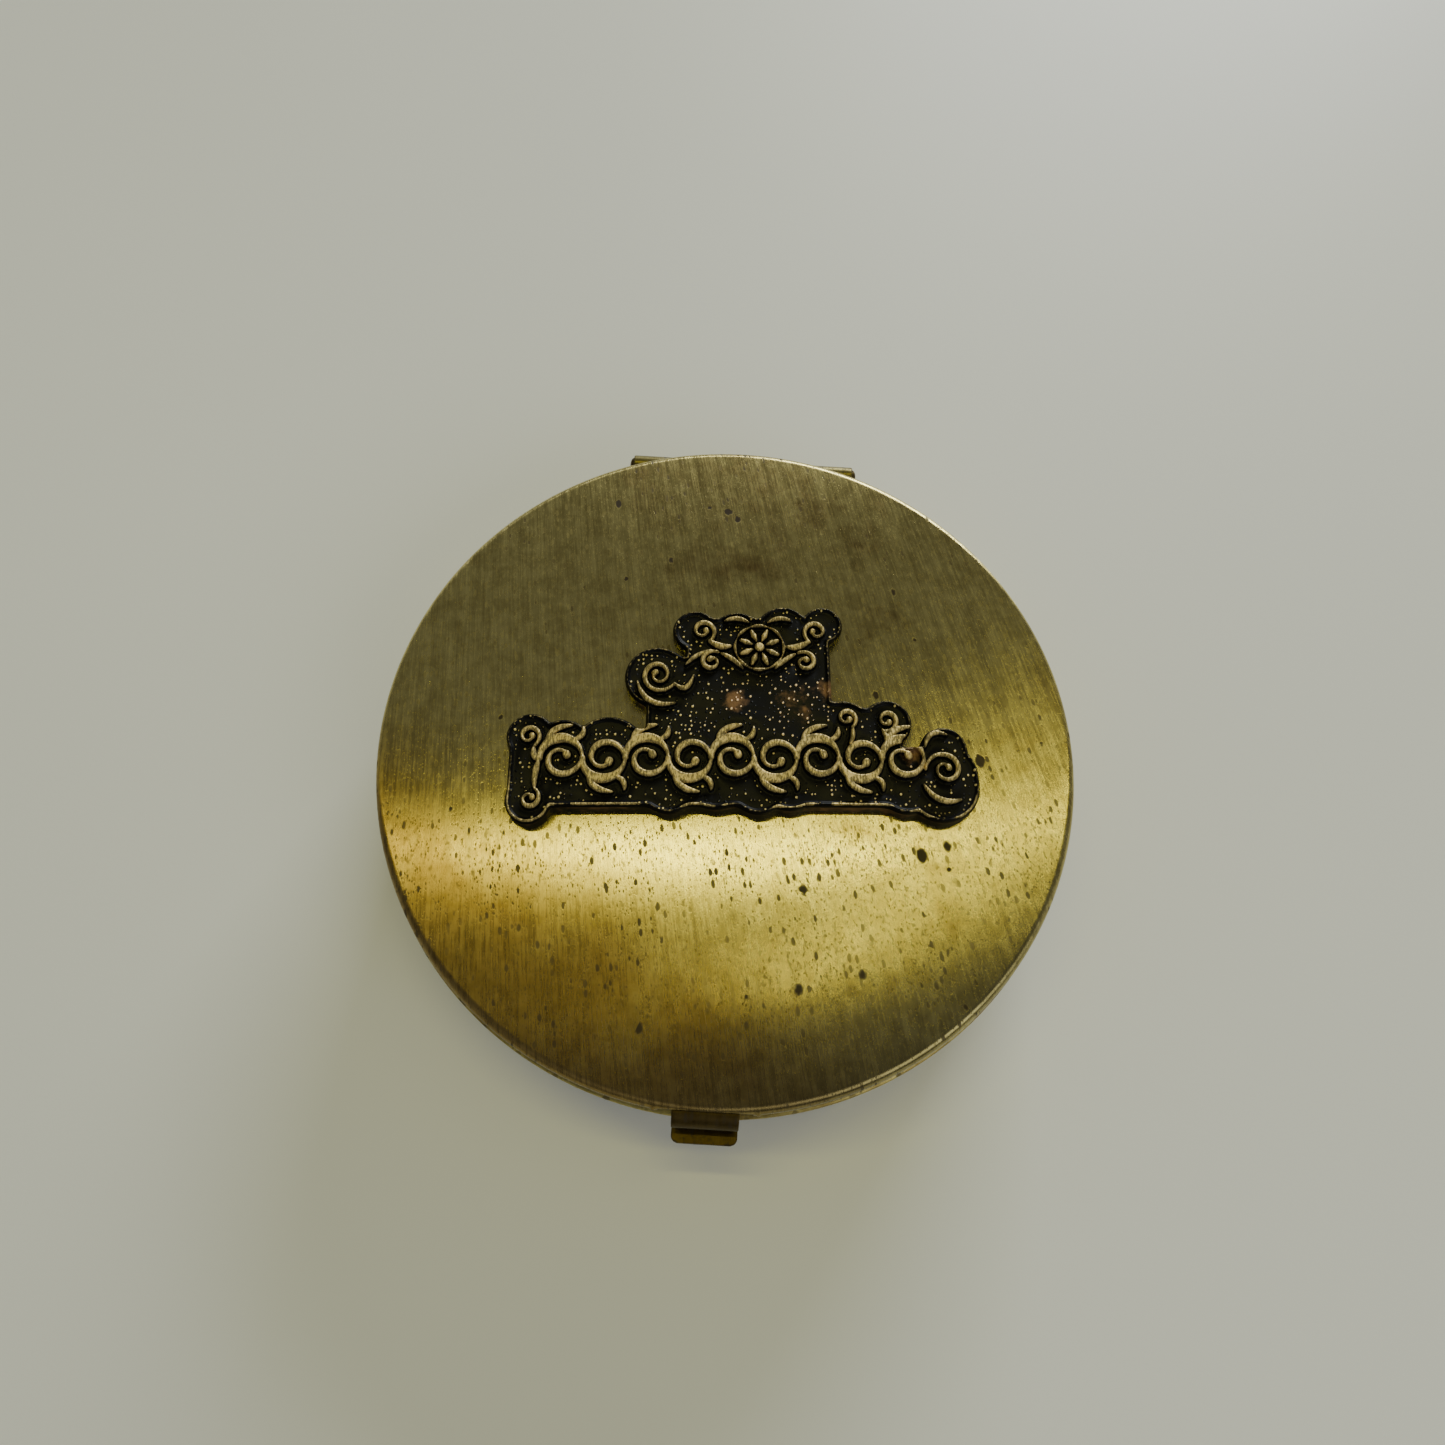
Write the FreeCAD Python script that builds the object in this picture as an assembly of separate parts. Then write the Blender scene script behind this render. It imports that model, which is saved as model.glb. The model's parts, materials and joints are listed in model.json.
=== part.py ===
import FreeCAD, Part
import math
import os

# Round hinged brass rosary case, in millimetres.
# +Z is up, +Y points to the hinge and -Y to the catch. The origin is the centre of the underside.

# ---- case, overall ----
case_radius = 27.0            # outside of the lid skirt and of the base wall
base_height = 10.9            # underside to the seam
lid_height = 2.1              # seam to the rim of the lid's top
lid_crown = 0.9               # rise of the lid's dome above its rim
sheet = 0.5                   # brass sheet of both shells
lid_edge_round = 0.7          # rounding between the lid's top and its skirt
base_edge_round = 1.5         # rounding between the floor and the base wall
closing_gap = 0.05            # between the lid skirt and the base at the seam
mouth_bead = 0.25             # radius of the half-round bead rolled at the base's mouth

# ---- collar ring inside the mouth ----
collar_sheet = 0.4
collar_seat = 3.5             # height soldered to the base wall, below the seam
collar_rise = 0.9             # height that stands up into the lid
collar_clearance = 0.1        # between the risen collar and the lid skirt

# ---- hinge ----
hinge_setback = 0.6           # from the outside of the wall in to the pin's axis
knuckle_radius = 0.85
base_knuckle_length = 6.4
lid_knuckle_length = 6.3
knuckle_gap = 0.1             # between neighbouring knuckles
knuckle_room = 0.15           # radial room cut round the other half's knuckles
notch_half_height = 0.8       # cut-out in each wall, up or down from the seam
notch_end_room = 0.15         # beyond the ends of the barrel
collar_notch_room = 0.45      # beyond the barrel, in the collar
pin_radius = 0.4
pin_running_clearance = 0.04  # in the lid knuckles, which turn
pin_press_clearance = 0.01    # in the base knuckle, which holds the pin
pin_head_radius = 0.62
pin_head_height = 0.3
pin_head_gap = 0.05

# ---- catch ----
catch_width = 4.7
catch_sheet = 0.4
catch_root_length = 3.4       # soldered under the lid's top
catch_window_width = 6.6      # cut out of the lid skirt
catch_shoulder_radius = 0.9   # centre line of the bend over the edge
catch_shoulder_reach = 0.2    # the bend starts this far inside the case radius
catch_shoulder_turn = 104.0   # degrees, from level to past straight down
catch_leg_length = 1.05       # straight stretch that passes the bead
catch_lip_radius = 0.45       # centre line of the bend into the lip
catch_lip_turn = 112.0        # degrees, from down and inward to just above level
catch_lip_length = 0.97
catch_corner_round = 0.5
solder_gap = 0.02

# ---- plaque ----
plaque_skew = 3.4             # degrees, the plaque sits slightly crooked on the lid
plaque_thickness = 1.3        # ground above the lid
plaque_rim_width = 0.45
plaque_rim_height = 0.25      # above the ground
scroll_height = 0.45          # above the ground
scroll_width = 0.6
scroll_radius = 1.6
scroll_count = 9
scroll_first_x = -12.45
scroll_line_y = -2.0
bud_radius = 0.5
rosette_x = 2.5
rosette_y = 7.1
rosette_ring_radius = 1.9
petal_count = 8
petal_radius = 0.34
petal_circle_radius = 1.0
stud_radius = 0.6
stud_spacing = 18.0
stud_end_room = 0.1           # between a stud's end and the lid's felt
stud_clearance = 0.1
push_nut_radius = 1.5
push_nut_sheet = 0.3
push_nut_grip = 0.02

# ---- felt linings ----
base_felt = 0.9
lid_felt = 0.55
felt_edge_room = 0.5          # between a felt disc and the collar
felt_catch_room = 0.3         # round the root of the catch
felt_softening = 0.3          # radius of the floor felt's upper edge

# ---- places that follow from the sizes above ----
seam_z = base_height
rim_z = seam_z + lid_height
lid_under_z = rim_z - sheet
dome_edge_radius = case_radius - lid_edge_round
dome_radius = (dome_edge_radius**2 + lid_crown**2) / (2 * lid_crown)
dome_centre_z = rim_z + lid_crown - dome_radius
hinge_y = case_radius - hinge_setback
barrel_half = base_knuckle_length / 2 + knuckle_gap + lid_knuckle_length
collar_inner_radius = case_radius - sheet - collar_sheet
felt_radius = collar_inner_radius - felt_edge_room
floor_felt_radius = felt_radius - sheet
plaque_top_radius = dome_radius + plaque_thickness
cut_margin = 3.0

# The plaque's outline is a union of round lobes and bars, in its own frame: x, y, radius.
lower_lobes = [
    (-14.75, -5.25, 1.7), (-14.9, -0.1, 1.8), (-12.4, -0.9, 2.1), (-9.0, -1.5, 2.9), (-4.4, -4.2, 2.05),
    (-0.9, -3.9, 2.0), (2.3, -4.2, 2.1), (4.6, -4.1, 1.9), (9.1, 1.0, 1.7), (12.2, 1.0, 1.85),
    (13.3, -4.3, 1.9), (16.4, -1.1, 1.8), (16.9, -2.8, 1.9), (16.0, -3.9, 2.9),
]
upper_lobes = [
    (-5.4, 4.7, 2.5), (-2.5, 8.65, 1.75), (0.8, 8.3, 2.0), (4.4, 8.7, 2.1), (7.5, 9.2, 1.6),
]
# Bars join the lobes: low x, low y, high x, high y.
plaque_bars = [
    (-16.4, -5.4, -12.8, 0.1), (-14.0, -5.7, 13.2, 0.4), (-6.2, -1.5, 9.0, 2.7), (-5.2, 1.2, 0.0, 6.4),
    (-3.2, 1.2, 8.0, 9.8), (8.0, -1.5, 12.5, 2.2), (11.8, -5.6, 16.2, -0.9),
]


def along_x(radius, low_x, high_x):
    """A round bar on the hinge axis."""
    start = FreeCAD.Vector(low_x, hinge_y, seam_z)
    return Part.makeCylinder(radius, high_x - low_x, start, FreeCAD.Vector(1, 0, 0))


def box(low, high):
    """A box from its lowest to its highest corner."""
    size = [high[i] - low[i] for i in range(3)]
    return Part.makeBox(size[0], size[1], size[2], FreeCAD.Vector(*low))


def line(a, b):
    """A straight edge in the XZ plane between two (radius, height) points."""
    return Part.LineSegment(FreeCAD.Vector(a[0], 0, a[1]), FreeCAD.Vector(b[0], 0, b[1])).toShape()


def arc(a, middle, b):
    """A round edge in the XZ plane through three (radius, height) points."""
    points = [FreeCAD.Vector(p[0], 0, p[1]) for p in (a, middle, b)]
    return Part.Arc(points[0], points[1], points[2]).toShape()


def revolved(edges):
    """The solid that a closed profile in the XZ plane sweeps about the Z axis."""
    face = Part.Face(Part.Wire(edges))
    return face.revolve(FreeCAD.Vector(0, 0, 0), FreeCAD.Vector(0, 0, 1), 360)


def ring(inner, outer, low_z, high_z):
    """A flat or tall ring about the Z axis."""
    start = FreeCAD.Vector(0, 0, low_z)
    solid = Part.makeCylinder(outer, high_z - low_z, start)
    return solid.cut(Part.makeCylinder(inner, high_z - low_z, start))


def corner(centre, radius, degrees):
    """A point on a profile's rounding."""
    turn = math.radians(degrees)
    return (centre[0] + radius * math.cos(turn), centre[1] + radius * math.sin(turn))


def dome_height(radius, lower=0.0):
    """Height of the lid's dome, or of a dome that lies lower by a wall, at a distance from the axis."""
    ball = dome_radius - lower
    return dome_centre_z + math.sqrt(ball**2 - radius**2)


def dome_ball(radius):
    """The ball whose top is the dome, or a dome parallel to it."""
    return Part.makeSphere(radius, FreeCAD.Vector(0, 0, dome_centre_z))


# ---------------- base ----------------

def make_base_pan():
    """Drawn pan with a rounded lower edge, a bead at its mouth and the hinge cut-out."""
    inside = case_radius - sheet
    inner_round = base_edge_round - sheet
    low = (case_radius - base_edge_round, base_edge_round)
    bead_z = seam_z - mouth_bead
    profile = [
        line((0, 0), (low[0], 0)),
        arc((low[0], 0), corner(low, base_edge_round, -45), (case_radius, low[1])),
        line((case_radius, low[1]), (case_radius, seam_z - 2 * mouth_bead)),
        arc((case_radius, seam_z - 2 * mouth_bead), (case_radius + mouth_bead, bead_z), (case_radius, seam_z)),
        line((case_radius, seam_z), (inside, seam_z)),
        line((inside, seam_z), (inside, low[1])),
        arc((inside, low[1]), corner(low, inner_round, -45), (low[0], sheet)),
        line((low[0], sheet), (0, sheet)),
        line((0, sheet), (0, 0)),
    ]
    pan = revolved(profile)
    pan = pan.cut(wall_notch(seam_z - notch_half_height, seam_z + cut_margin))
    pan = pan.cut(along_x(knuckle_radius, -base_knuckle_length / 2, base_knuckle_length / 2))
    for side in (-1, 1):
        pan = pan.cut(lid_knuckle_room(side))
    return pan


def wall_notch(low_z, high_z):
    """The straight cut-out across a wall at the hinge."""
    half = barrel_half + notch_end_room
    inside_y = hinge_y - cut_margin
    return box((-half, inside_y, low_z), (half, case_radius + cut_margin, high_z))


def lid_knuckle_room(side):
    """Room round one of the lid's knuckles, from the base knuckle to past the barrel's end."""
    near = base_knuckle_length / 2
    far = barrel_half + notch_end_room
    low_x = near if side > 0 else -far
    return along_x(knuckle_radius + knuckle_room, low_x, low_x + far - near)


def make_base_collar():
    """Ring soldered in the pan's mouth; its risen edge steps in and is cut away along the hinge."""
    wall = case_radius - sheet
    collar = ring(collar_inner_radius, wall, seam_z - collar_seat, seam_z)
    risen = ring(collar_inner_radius, wall - collar_clearance, seam_z, seam_z + collar_rise)
    collar = collar.fuse(risen).removeSplitter()
    half = barrel_half + collar_notch_room
    low_z = seam_z - knuckle_radius - 2 * knuckle_room
    back = box((-half, hinge_y - 2 * cut_margin, low_z), (half, case_radius, rim_z))
    return collar.cut(back)


def make_base_lining():
    """Felt disc on the floor, with softened upper edge."""
    disc = Part.makeCylinder(floor_felt_radius, base_felt, FreeCAD.Vector(0, 0, sheet))
    upper = [edge for edge in disc.Edges if edge.BoundBox.ZMin > sheet + base_felt / 2]
    return disc.makeFillet(felt_softening, upper)


# ---------------- hinge ----------------

def knuckle(low_x, length, bore_radius):
    """One tube of the hinge barrel."""
    return along_x(knuckle_radius, low_x, low_x + length).cut(along_x(bore_radius, low_x, low_x + length))


def make_base_knuckle():
    """Middle tube, soldered to the base, which grips the pin."""
    return knuckle(-base_knuckle_length / 2, base_knuckle_length, pin_radius + pin_press_clearance)


def make_lid_knuckle(side):
    """Outer tube, soldered to the lid, which turns on the pin."""
    near = base_knuckle_length / 2 + knuckle_gap
    low_x = near if side > 0 else -near - lid_knuckle_length
    return knuckle(low_x, lid_knuckle_length, pin_radius + pin_running_clearance)


def pin_head(side):
    """Peened head: a low cap of a ball on the pin's end."""
    face_x = barrel_half + pin_head_gap
    ball = (pin_head_radius**2 + pin_head_height**2) / (2 * pin_head_height)
    centre = FreeCAD.Vector(side * (face_x + pin_head_height - ball), hinge_y, seam_z)
    low_x = face_x if side > 0 else -face_x - pin_head_height
    return Part.makeSphere(ball, centre).common(along_x(pin_head_radius, low_x, low_x + pin_head_height))


def make_hinge_pin():
    """Straight pin with a peened head at each end."""
    half = barrel_half + pin_head_gap
    return along_x(pin_radius, -half, half).fuse([pin_head(-1), pin_head(1)]).removeSplitter()


# ---------------- lid ----------------

def make_lid_shell():
    """Domed top with a turned-down skirt, the hinge cut-out, the catch window and two stud holes."""
    inside = case_radius - sheet
    shoulder = (dome_edge_radius, rim_z - lid_edge_round)
    inner_round = lid_edge_round - sheet
    skirt_z = seam_z + closing_gap
    half = dome_edge_radius / 2
    profile = [
        arc((0, dome_height(0)), (half, dome_height(half)), (dome_edge_radius, rim_z)),
        arc((dome_edge_radius, rim_z), corner(shoulder, lid_edge_round, 45), (case_radius, shoulder[1])),
        line((case_radius, shoulder[1]), (case_radius, skirt_z)),
        line((case_radius, skirt_z), (inside, skirt_z)),
        line((inside, skirt_z), (inside, shoulder[1])),
        arc((inside, shoulder[1]), corner(shoulder, inner_round, 45), (dome_edge_radius, lid_under_z)),
        arc((dome_edge_radius, lid_under_z), (half, dome_height(half) - sheet), (0, dome_height(0) - sheet)),
        line((0, dome_height(0) - sheet), (0, dome_height(0))),
    ]
    lid = revolved(profile)
    lid = lid.cut(wall_notch(seam_z - cut_margin, seam_z + notch_half_height))
    lid = lid.cut(along_x(knuckle_radius, -barrel_half, barrel_half))
    room = base_knuckle_length / 2 + knuckle_gap
    lid = lid.cut(along_x(knuckle_radius + knuckle_room, -room, room))
    window = catch_window_width / 2
    front = -(dome_edge_radius - sheet)
    lid = lid.cut(box((-window, -case_radius - cut_margin, seam_z - cut_margin), (window, front, lid_under_z)))
    for x, y in stud_places():
        start = FreeCAD.Vector(x, y, seam_z)
        lid = lid.cut(Part.makeCylinder(stud_radius + stud_clearance, lid_height + lid_crown + cut_margin, start))
    return lid


def catch_centre_line():
    """Radius and height points of the strip's centre line with its two bends, and the heading at its end."""
    level_z = lid_under_z - catch_sheet / 2 - solder_gap
    root_r = dome_edge_radius - catch_root_length
    root_z = dome_height(root_r) - sheet - catch_sheet / 2 - solder_gap
    bend = (case_radius - catch_shoulder_reach, level_z - catch_shoulder_radius)
    shoulder_end = 90 - catch_shoulder_turn
    heading = math.radians(shoulder_end - 90)
    leg_start = corner(bend, catch_shoulder_radius, shoulder_end)
    leg_end = (
        leg_start[0] + catch_leg_length * math.cos(heading),
        leg_start[1] + catch_leg_length * math.sin(heading),
    )
    lip_start = 180 + shoulder_end
    lip = corner(leg_end, catch_lip_radius, shoulder_end)
    return {
        "root": (root_r, root_z), "flat": (dome_edge_radius, level_z), "bend": bend,
        "shoulder_end": shoulder_end, "leg_end": leg_end, "lip": lip,
        "lip_start": lip_start, "lip_end": lip_start + catch_lip_turn,
    }


def catch_side(offset):
    """Points of one face of the strip, the outer one for a positive offset, from the root to the lip's end."""
    path = catch_centre_line()
    outer = catch_shoulder_radius + offset
    inner = catch_lip_radius - offset
    shoulder_middle = 90 - catch_shoulder_turn / 2
    lip_middle = path["lip_start"] + catch_lip_turn / 2
    end = corner(path["lip"], inner, path["lip_end"])
    heading = math.radians(path["lip_end"] + 90)
    tip = (end[0] + catch_lip_length * math.cos(heading), end[1] + catch_lip_length * math.sin(heading))
    return [
        (path["root"][0], path["root"][1] + offset), (path["flat"][0], path["flat"][1] + offset),
        corner(path["bend"], outer, 90), corner(path["bend"], outer, shoulder_middle),
        corner(path["bend"], outer, path["shoulder_end"]), corner(path["lip"], inner, path["lip_start"]),
        corner(path["lip"], inner, lip_middle), end, tip,
    ]


def face_edges(points):
    """Edges of one face of the strip through its points: root, flat, shoulder bend, leg, lip bend and lip."""
    root, flat, top, shoulder, leg_start, leg_end, lip, end, tip = points
    return [
        line(root, flat), line(flat, top), arc(top, shoulder, leg_start), line(leg_start, leg_end),
        arc(leg_end, lip, end), line(end, tip),
    ]


def make_catch_strip():
    """Bent spring strip: root under the lid, shoulder over the edge, leg past the bead and a flared lip."""
    outer = catch_side(catch_sheet / 2)
    inner = catch_side(-catch_sheet / 2)
    edges = face_edges(outer) + face_edges(inner) + [line(outer[0], inner[0]), line(outer[-1], inner[-1])]
    face = Part.Face(Part.Wire(Part.__sortEdges__(edges)))
    face.translate(FreeCAD.Vector(0, catch_width / 2, 0))
    strip = face.extrude(FreeCAD.Vector(0, -catch_width, 0))
    strip.rotate(FreeCAD.Vector(0, 0, 0), FreeCAD.Vector(0, 0, 1), -90)
    tip_y = -max(outer[-1][0], inner[-1][0])
    corners = [e for e in strip.Edges if e.BoundBox.XLength < solder_gap and e.BoundBox.YMax < tip_y + catch_sheet]
    corners = [e for e in corners if abs(e.Length - catch_sheet) < solder_gap]
    return strip.makeFillet(catch_corner_round, corners)


def lid_felt_top():
    """Height of the lid felt's upper face, which touches the dome round its edge."""
    return dome_height(felt_radius) - sheet - solder_gap


def make_lid_lining():
    """Felt disc under the lid, cut out round the catch's root."""
    high_z = lid_felt_top()
    disc = Part.makeCylinder(felt_radius, lid_felt, FreeCAD.Vector(0, 0, high_z - lid_felt))
    half = catch_width / 2 + felt_catch_room
    back_y = -(dome_edge_radius - catch_root_length - felt_catch_room)
    return disc.cut(box((-half, -case_radius, seam_z), (half, back_y, rim_z)))


# ---------------- plaque ----------------

def turned(x, y):
    """A point of the plaque's own frame in the case's frame."""
    skew = math.radians(plaque_skew)
    return (x * math.cos(skew) - y * math.sin(skew), x * math.sin(skew) + y * math.cos(skew))


def stud_places():
    """Centres of the two studs."""
    middle = scroll_first_x + (scroll_count - 1) * scroll_radius
    return [turned(middle - stud_spacing / 2, scroll_line_y), turned(middle + stud_spacing / 2, scroll_line_y)]


def outline_prism(inset):
    """The lobed outline, drawn in by an inset, as a tall prism in the plaque's own frame."""
    tall = plaque_thickness + lid_height + lid_crown + cut_margin
    pieces = []
    for x, y, radius in lower_lobes + upper_lobes:
        pieces.append(Part.makeCylinder(radius - inset, tall, FreeCAD.Vector(x, y, seam_z)))
    for low_x, low_y, high_x, high_y in plaque_bars:
        pieces.append(box((low_x + inset, low_y + inset, seam_z), (high_x - inset, high_y - inset, seam_z + tall)))
    return pieces[0].fuse(pieces[1:]).removeSplitter()


def half_ring(x, y, radius, width, upper):
    """Half of a round stroke, above or below its centre."""
    tall = lid_height + lid_crown + plaque_thickness + cut_margin
    start = FreeCAD.Vector(x, y, seam_z)
    stroke = Part.makeCylinder(radius + width / 2, tall, start).cut(Part.makeCylinder(radius - width / 2, tall, start))
    reach = radius + width
    low_y = y if upper else y - reach
    return stroke.common(box((x - reach, low_y, seam_z), (x + reach, low_y + reach, seam_z + tall)))


def relief_strokes():
    """The running scroll with its buds, and the rosette, as tall prisms."""
    tall = lid_height + lid_crown + plaque_thickness + cut_margin
    strokes = []
    for i in range(scroll_count):
        x = scroll_first_x + 2 * i * scroll_radius
        strokes.append(half_ring(x, scroll_line_y, scroll_radius, scroll_width, i % 2 == 0))
        strokes.append(Part.makeCylinder(bud_radius, tall, FreeCAD.Vector(x, scroll_line_y, seam_z)))
    for upper in (True, False):
        strokes.append(half_ring(rosette_x, rosette_y, rosette_ring_radius, scroll_width, upper))
    for i in range(petal_count):
        turn = 2 * math.pi * i / petal_count
        x = rosette_x + petal_circle_radius * math.cos(turn)
        y = rosette_y + petal_circle_radius * math.sin(turn)
        strokes.append(Part.makeCylinder(petal_radius, tall, FreeCAD.Vector(x, y, seam_z)))
    return strokes[0].fuse(strokes[1:]).removeSplitter()


def make_plaque():
    """One casting: ground parallel to the dome, raised rim, raised relief and two studs through the lid."""
    outline = outline_prism(0)
    ground = outline.common(dome_ball(plaque_top_radius))
    rim = outline.cut(outline_prism(plaque_rim_width)).common(dome_ball(plaque_top_radius + plaque_rim_height))
    relief = relief_strokes().common(dome_ball(plaque_top_radius + scroll_height))
    casting = ground.fuse([rim, relief]).cut(dome_ball(dome_radius))
    casting.rotate(FreeCAD.Vector(0, 0, 0), FreeCAD.Vector(0, 0, 1), plaque_skew)
    studs = []
    for x, y in stud_places():
        low_z = lid_felt_top() + stud_end_room
        high_z = dome_height(math.hypot(x, y)) + sheet
        studs.append(Part.makeCylinder(stud_radius, high_z - low_z, FreeCAD.Vector(x, y, low_z)))
    return casting.fuse(studs).removeSplitter()


def make_push_nuts():
    """Two push-on nuts on the studs, under the lid's top."""
    nuts = []
    for x, y in stud_places():
        high_z = dome_height(math.hypot(x, y) + push_nut_radius) - sheet - solder_gap
        start = FreeCAD.Vector(x, y, high_z - push_nut_sheet)
        nut = Part.makeCylinder(push_nut_radius, push_nut_sheet, start)
        nuts.append(nut.cut(Part.makeCylinder(stud_radius + push_nut_grip, push_nut_sheet, start)))
    return Part.makeCompound(nuts)


def main():
    """Writes one STEP file for each piece."""
    os.makedirs("parts", exist_ok=True)
    pieces = {
        "base_pan": make_base_pan(),
        "base_collar": make_base_collar(),
        "base_lining": make_base_lining(),
        "base_knuckle": make_base_knuckle(),
        "hinge_pin": make_hinge_pin(),
        "lid_shell": make_lid_shell(),
        "lid_knuckle_left": make_lid_knuckle(-1),
        "lid_knuckle_right": make_lid_knuckle(1),
        "lid_lining": make_lid_lining(),
        "catch_strip": make_catch_strip(),
        "plaque": make_plaque(),
        "plaque_push_nuts": make_push_nuts(),
    }
    for name, shape in pieces.items():
        shape.exportStep("parts/" + name + ".step")
        size = shape.BoundBox
        print(name, len(shape.Solids), "solids", round(shape.Volume, 2), "mm3, valid", shape.isValid(),
              "x", round(size.XMin, 2), round(size.XMax, 2), "y", round(size.YMin, 2), round(size.YMax, 2),
              "z", round(size.ZMin, 2), round(size.ZMax, 2))


main()
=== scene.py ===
import json
import math

import bmesh
import bpy
import numpy as np
from mathutils import Matrix, Vector


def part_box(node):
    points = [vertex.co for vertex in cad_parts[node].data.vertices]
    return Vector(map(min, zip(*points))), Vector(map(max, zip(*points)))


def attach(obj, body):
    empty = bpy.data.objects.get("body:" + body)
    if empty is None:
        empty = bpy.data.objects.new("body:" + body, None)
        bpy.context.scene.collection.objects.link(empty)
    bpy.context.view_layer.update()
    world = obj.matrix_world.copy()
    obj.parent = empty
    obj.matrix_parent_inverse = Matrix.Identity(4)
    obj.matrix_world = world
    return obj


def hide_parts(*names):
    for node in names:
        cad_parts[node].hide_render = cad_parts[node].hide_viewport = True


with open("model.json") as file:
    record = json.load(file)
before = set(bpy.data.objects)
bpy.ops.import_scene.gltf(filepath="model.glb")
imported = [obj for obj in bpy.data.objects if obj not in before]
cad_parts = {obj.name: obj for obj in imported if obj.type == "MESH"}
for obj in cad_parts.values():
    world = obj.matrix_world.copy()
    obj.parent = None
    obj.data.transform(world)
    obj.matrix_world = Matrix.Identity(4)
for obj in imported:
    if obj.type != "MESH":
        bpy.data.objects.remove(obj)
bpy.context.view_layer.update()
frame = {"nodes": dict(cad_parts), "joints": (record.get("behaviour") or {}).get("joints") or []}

bl_info = {
    "name": "Round rosary case",
    "version": (1, 0, 0),
    "blender": (4, 5, 0),
    "location": "View3D > Sidebar > Case",
    "description": "Builds the brushed brass case with its hinge, catch, linings and plaque round the frame",
    "category": "Add Mesh",
}

MM = 0.001

# ---------------------------------------------------------------- places read from the frame

PAN_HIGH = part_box("base_pan")[1]
LID_LOW, LID_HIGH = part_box("lid_shell")
COLLAR_LOW, COLLAR_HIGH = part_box("base_collar")
BASE_KNUCKLE_LOW, BASE_KNUCKLE_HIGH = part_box("base_knuckle")
LEFT_KNUCKLE_LOW, LEFT_KNUCKLE_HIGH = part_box("lid_knuckle_left")
RIGHT_KNUCKLE_LOW, RIGHT_KNUCKLE_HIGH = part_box("lid_knuckle_right")
PIN_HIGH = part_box("hinge_pin")[1]
CATCH_LOW, CATCH_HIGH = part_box("catch_strip")
FLOOR_FELT_LOW, FLOOR_FELT_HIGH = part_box("base_lining")
LID_FELT_LOW, LID_FELT_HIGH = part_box("lid_lining")
HINGE = next(j for j in frame["joints"] if j["name"] == "lid_hinge")["pos_m"]

CASE_RADIUS = LID_HIGH.x
SEAM_Z = PAN_HIGH.z
SKIRT_Z = LID_LOW.z
DOME_TOP_Z = LID_HIGH.z
HINGE_Y, HINGE_Z = HINGE[1], HINGE[2]
KNUCKLE_RADIUS = BASE_KNUCKLE_HIGH.z - HINGE_Z
BARREL_HALF = RIGHT_KNUCKLE_HIGH.x
# Half width of the lid's cut over the middle knuckle, and how much deeper each half is cut over the knuckles
# of the other half.
MIDDLE_CUT = BASE_KNUCKLE_HIGH.x + 0.15 * MM
CUT_STEP = 0.2 * MM

# ---------------------------------------------------------------- properties

def length(name, description, default):
    """A length property in metres, given in millimetres."""
    return bpy.props.FloatProperty(name=name, description=description, default=default * MM,
                                   unit="LENGTH", precision=5)


def colour(name, description, default):
    """A colour property."""
    return bpy.props.FloatVectorProperty(name=name, description=description, default=default,
                                         subtype="COLOR", size=3, min=0.0, max=1.0)


class CaseSizes(bpy.types.PropertyGroup):
    """Sizes of the case that the frame's boxes don't give."""
    sheet: length("Sheet", "Thickness of the lid and base sheet", 0.5)
    crown: length("Crown", "Rise of the lid's dome above its rim", 0.9)
    lid_round: length("Lid edge", "Rounding between the lid's top and skirt", 0.7)
    base_round: length("Base edge", "Rounding between the floor and the base wall", 1.5)
    bead: length("Mouth bead", "Radius of the bead at the base's mouth", 0.25)
    collar_seat_step: length("Collar step", "How far the collar's risen edge steps in", 0.1)
    collar_sheet: length("Collar sheet", "Thickness of the collar ring", 0.4)
    notch_rise: length("Hinge notch", "Cut-out in each wall above or below the seam", 0.8)
    notch_end: length("Hinge notch end", "Cut-out beyond the barrel's ends", 0.15)
    window: length("Catch window", "Width of the cut in the lid skirt for the catch", 6.6)
    window_flat: length("Catch window flat", "How far the lid's edge is cut back over the catch", 0.26)
    catch_sheet: length("Catch sheet", "Thickness of the spring strip", 0.4)
    pin_radius: length("Pin", "Radius of the hinge pin", 0.4)


class PlaqueSizes(bpy.types.PropertyGroup):
    """Sizes of the cast plaque and its relief."""
    skew: bpy.props.FloatProperty(name="Skew", description="How crooked the plaque sits on the lid",
                                  default=math.radians(3.4), unit="ROTATION")
    thickness: length("Thickness", "Ground above the lid", 1.3)
    rim_height: length("Rim height", "Border line above the ground", 0.25)
    relief: length("Relief", "Scrollwork above the ground", 0.45)
    cell: length("Mesh cell", "Cell of the surface grid", 0.08)


class CaseColours(bpy.types.PropertyGroup):
    """Colours of the finishes."""
    brass: colour("Brass", "Satin brass of the lid", (0.61, 0.52, 0.19))
    # Brown fills the random tarnish clouds and also a painted shade laid browner towards one side of the lid.
    brown: colour("Brown tarnish", "Warm tarnish on the brass", (0.22, 0.132, 0.042))
    # The dull colour is painted shade: a dark reflection laid as grey-olive colour on the lid's lower right.
    dull: colour("Dull tarnish", "Grey-olive tarnish on the brass", (0.17, 0.15, 0.075))
    pit: colour("Pits", "Dark pits and specks", (0.045, 0.032, 0.014))
    patina: colour("Patina", "Black ground of the plaque", (0.003, 0.003, 0.003))
    bright: colour("Rubbed relief", "Bright rubbed tops of the plaque", (0.84, 0.68, 0.27))
    copper: colour("Worn pearls", "Copper of the worn ground", (0.62, 0.34, 0.15))
    felt: colour("Felt", "Linings", (0.018, 0.017, 0.020))
    floor: colour("Floor", "Pale table top", (0.87, 0.88, 0.84))


# ---------------------------------------------------------------- mesh building

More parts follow.
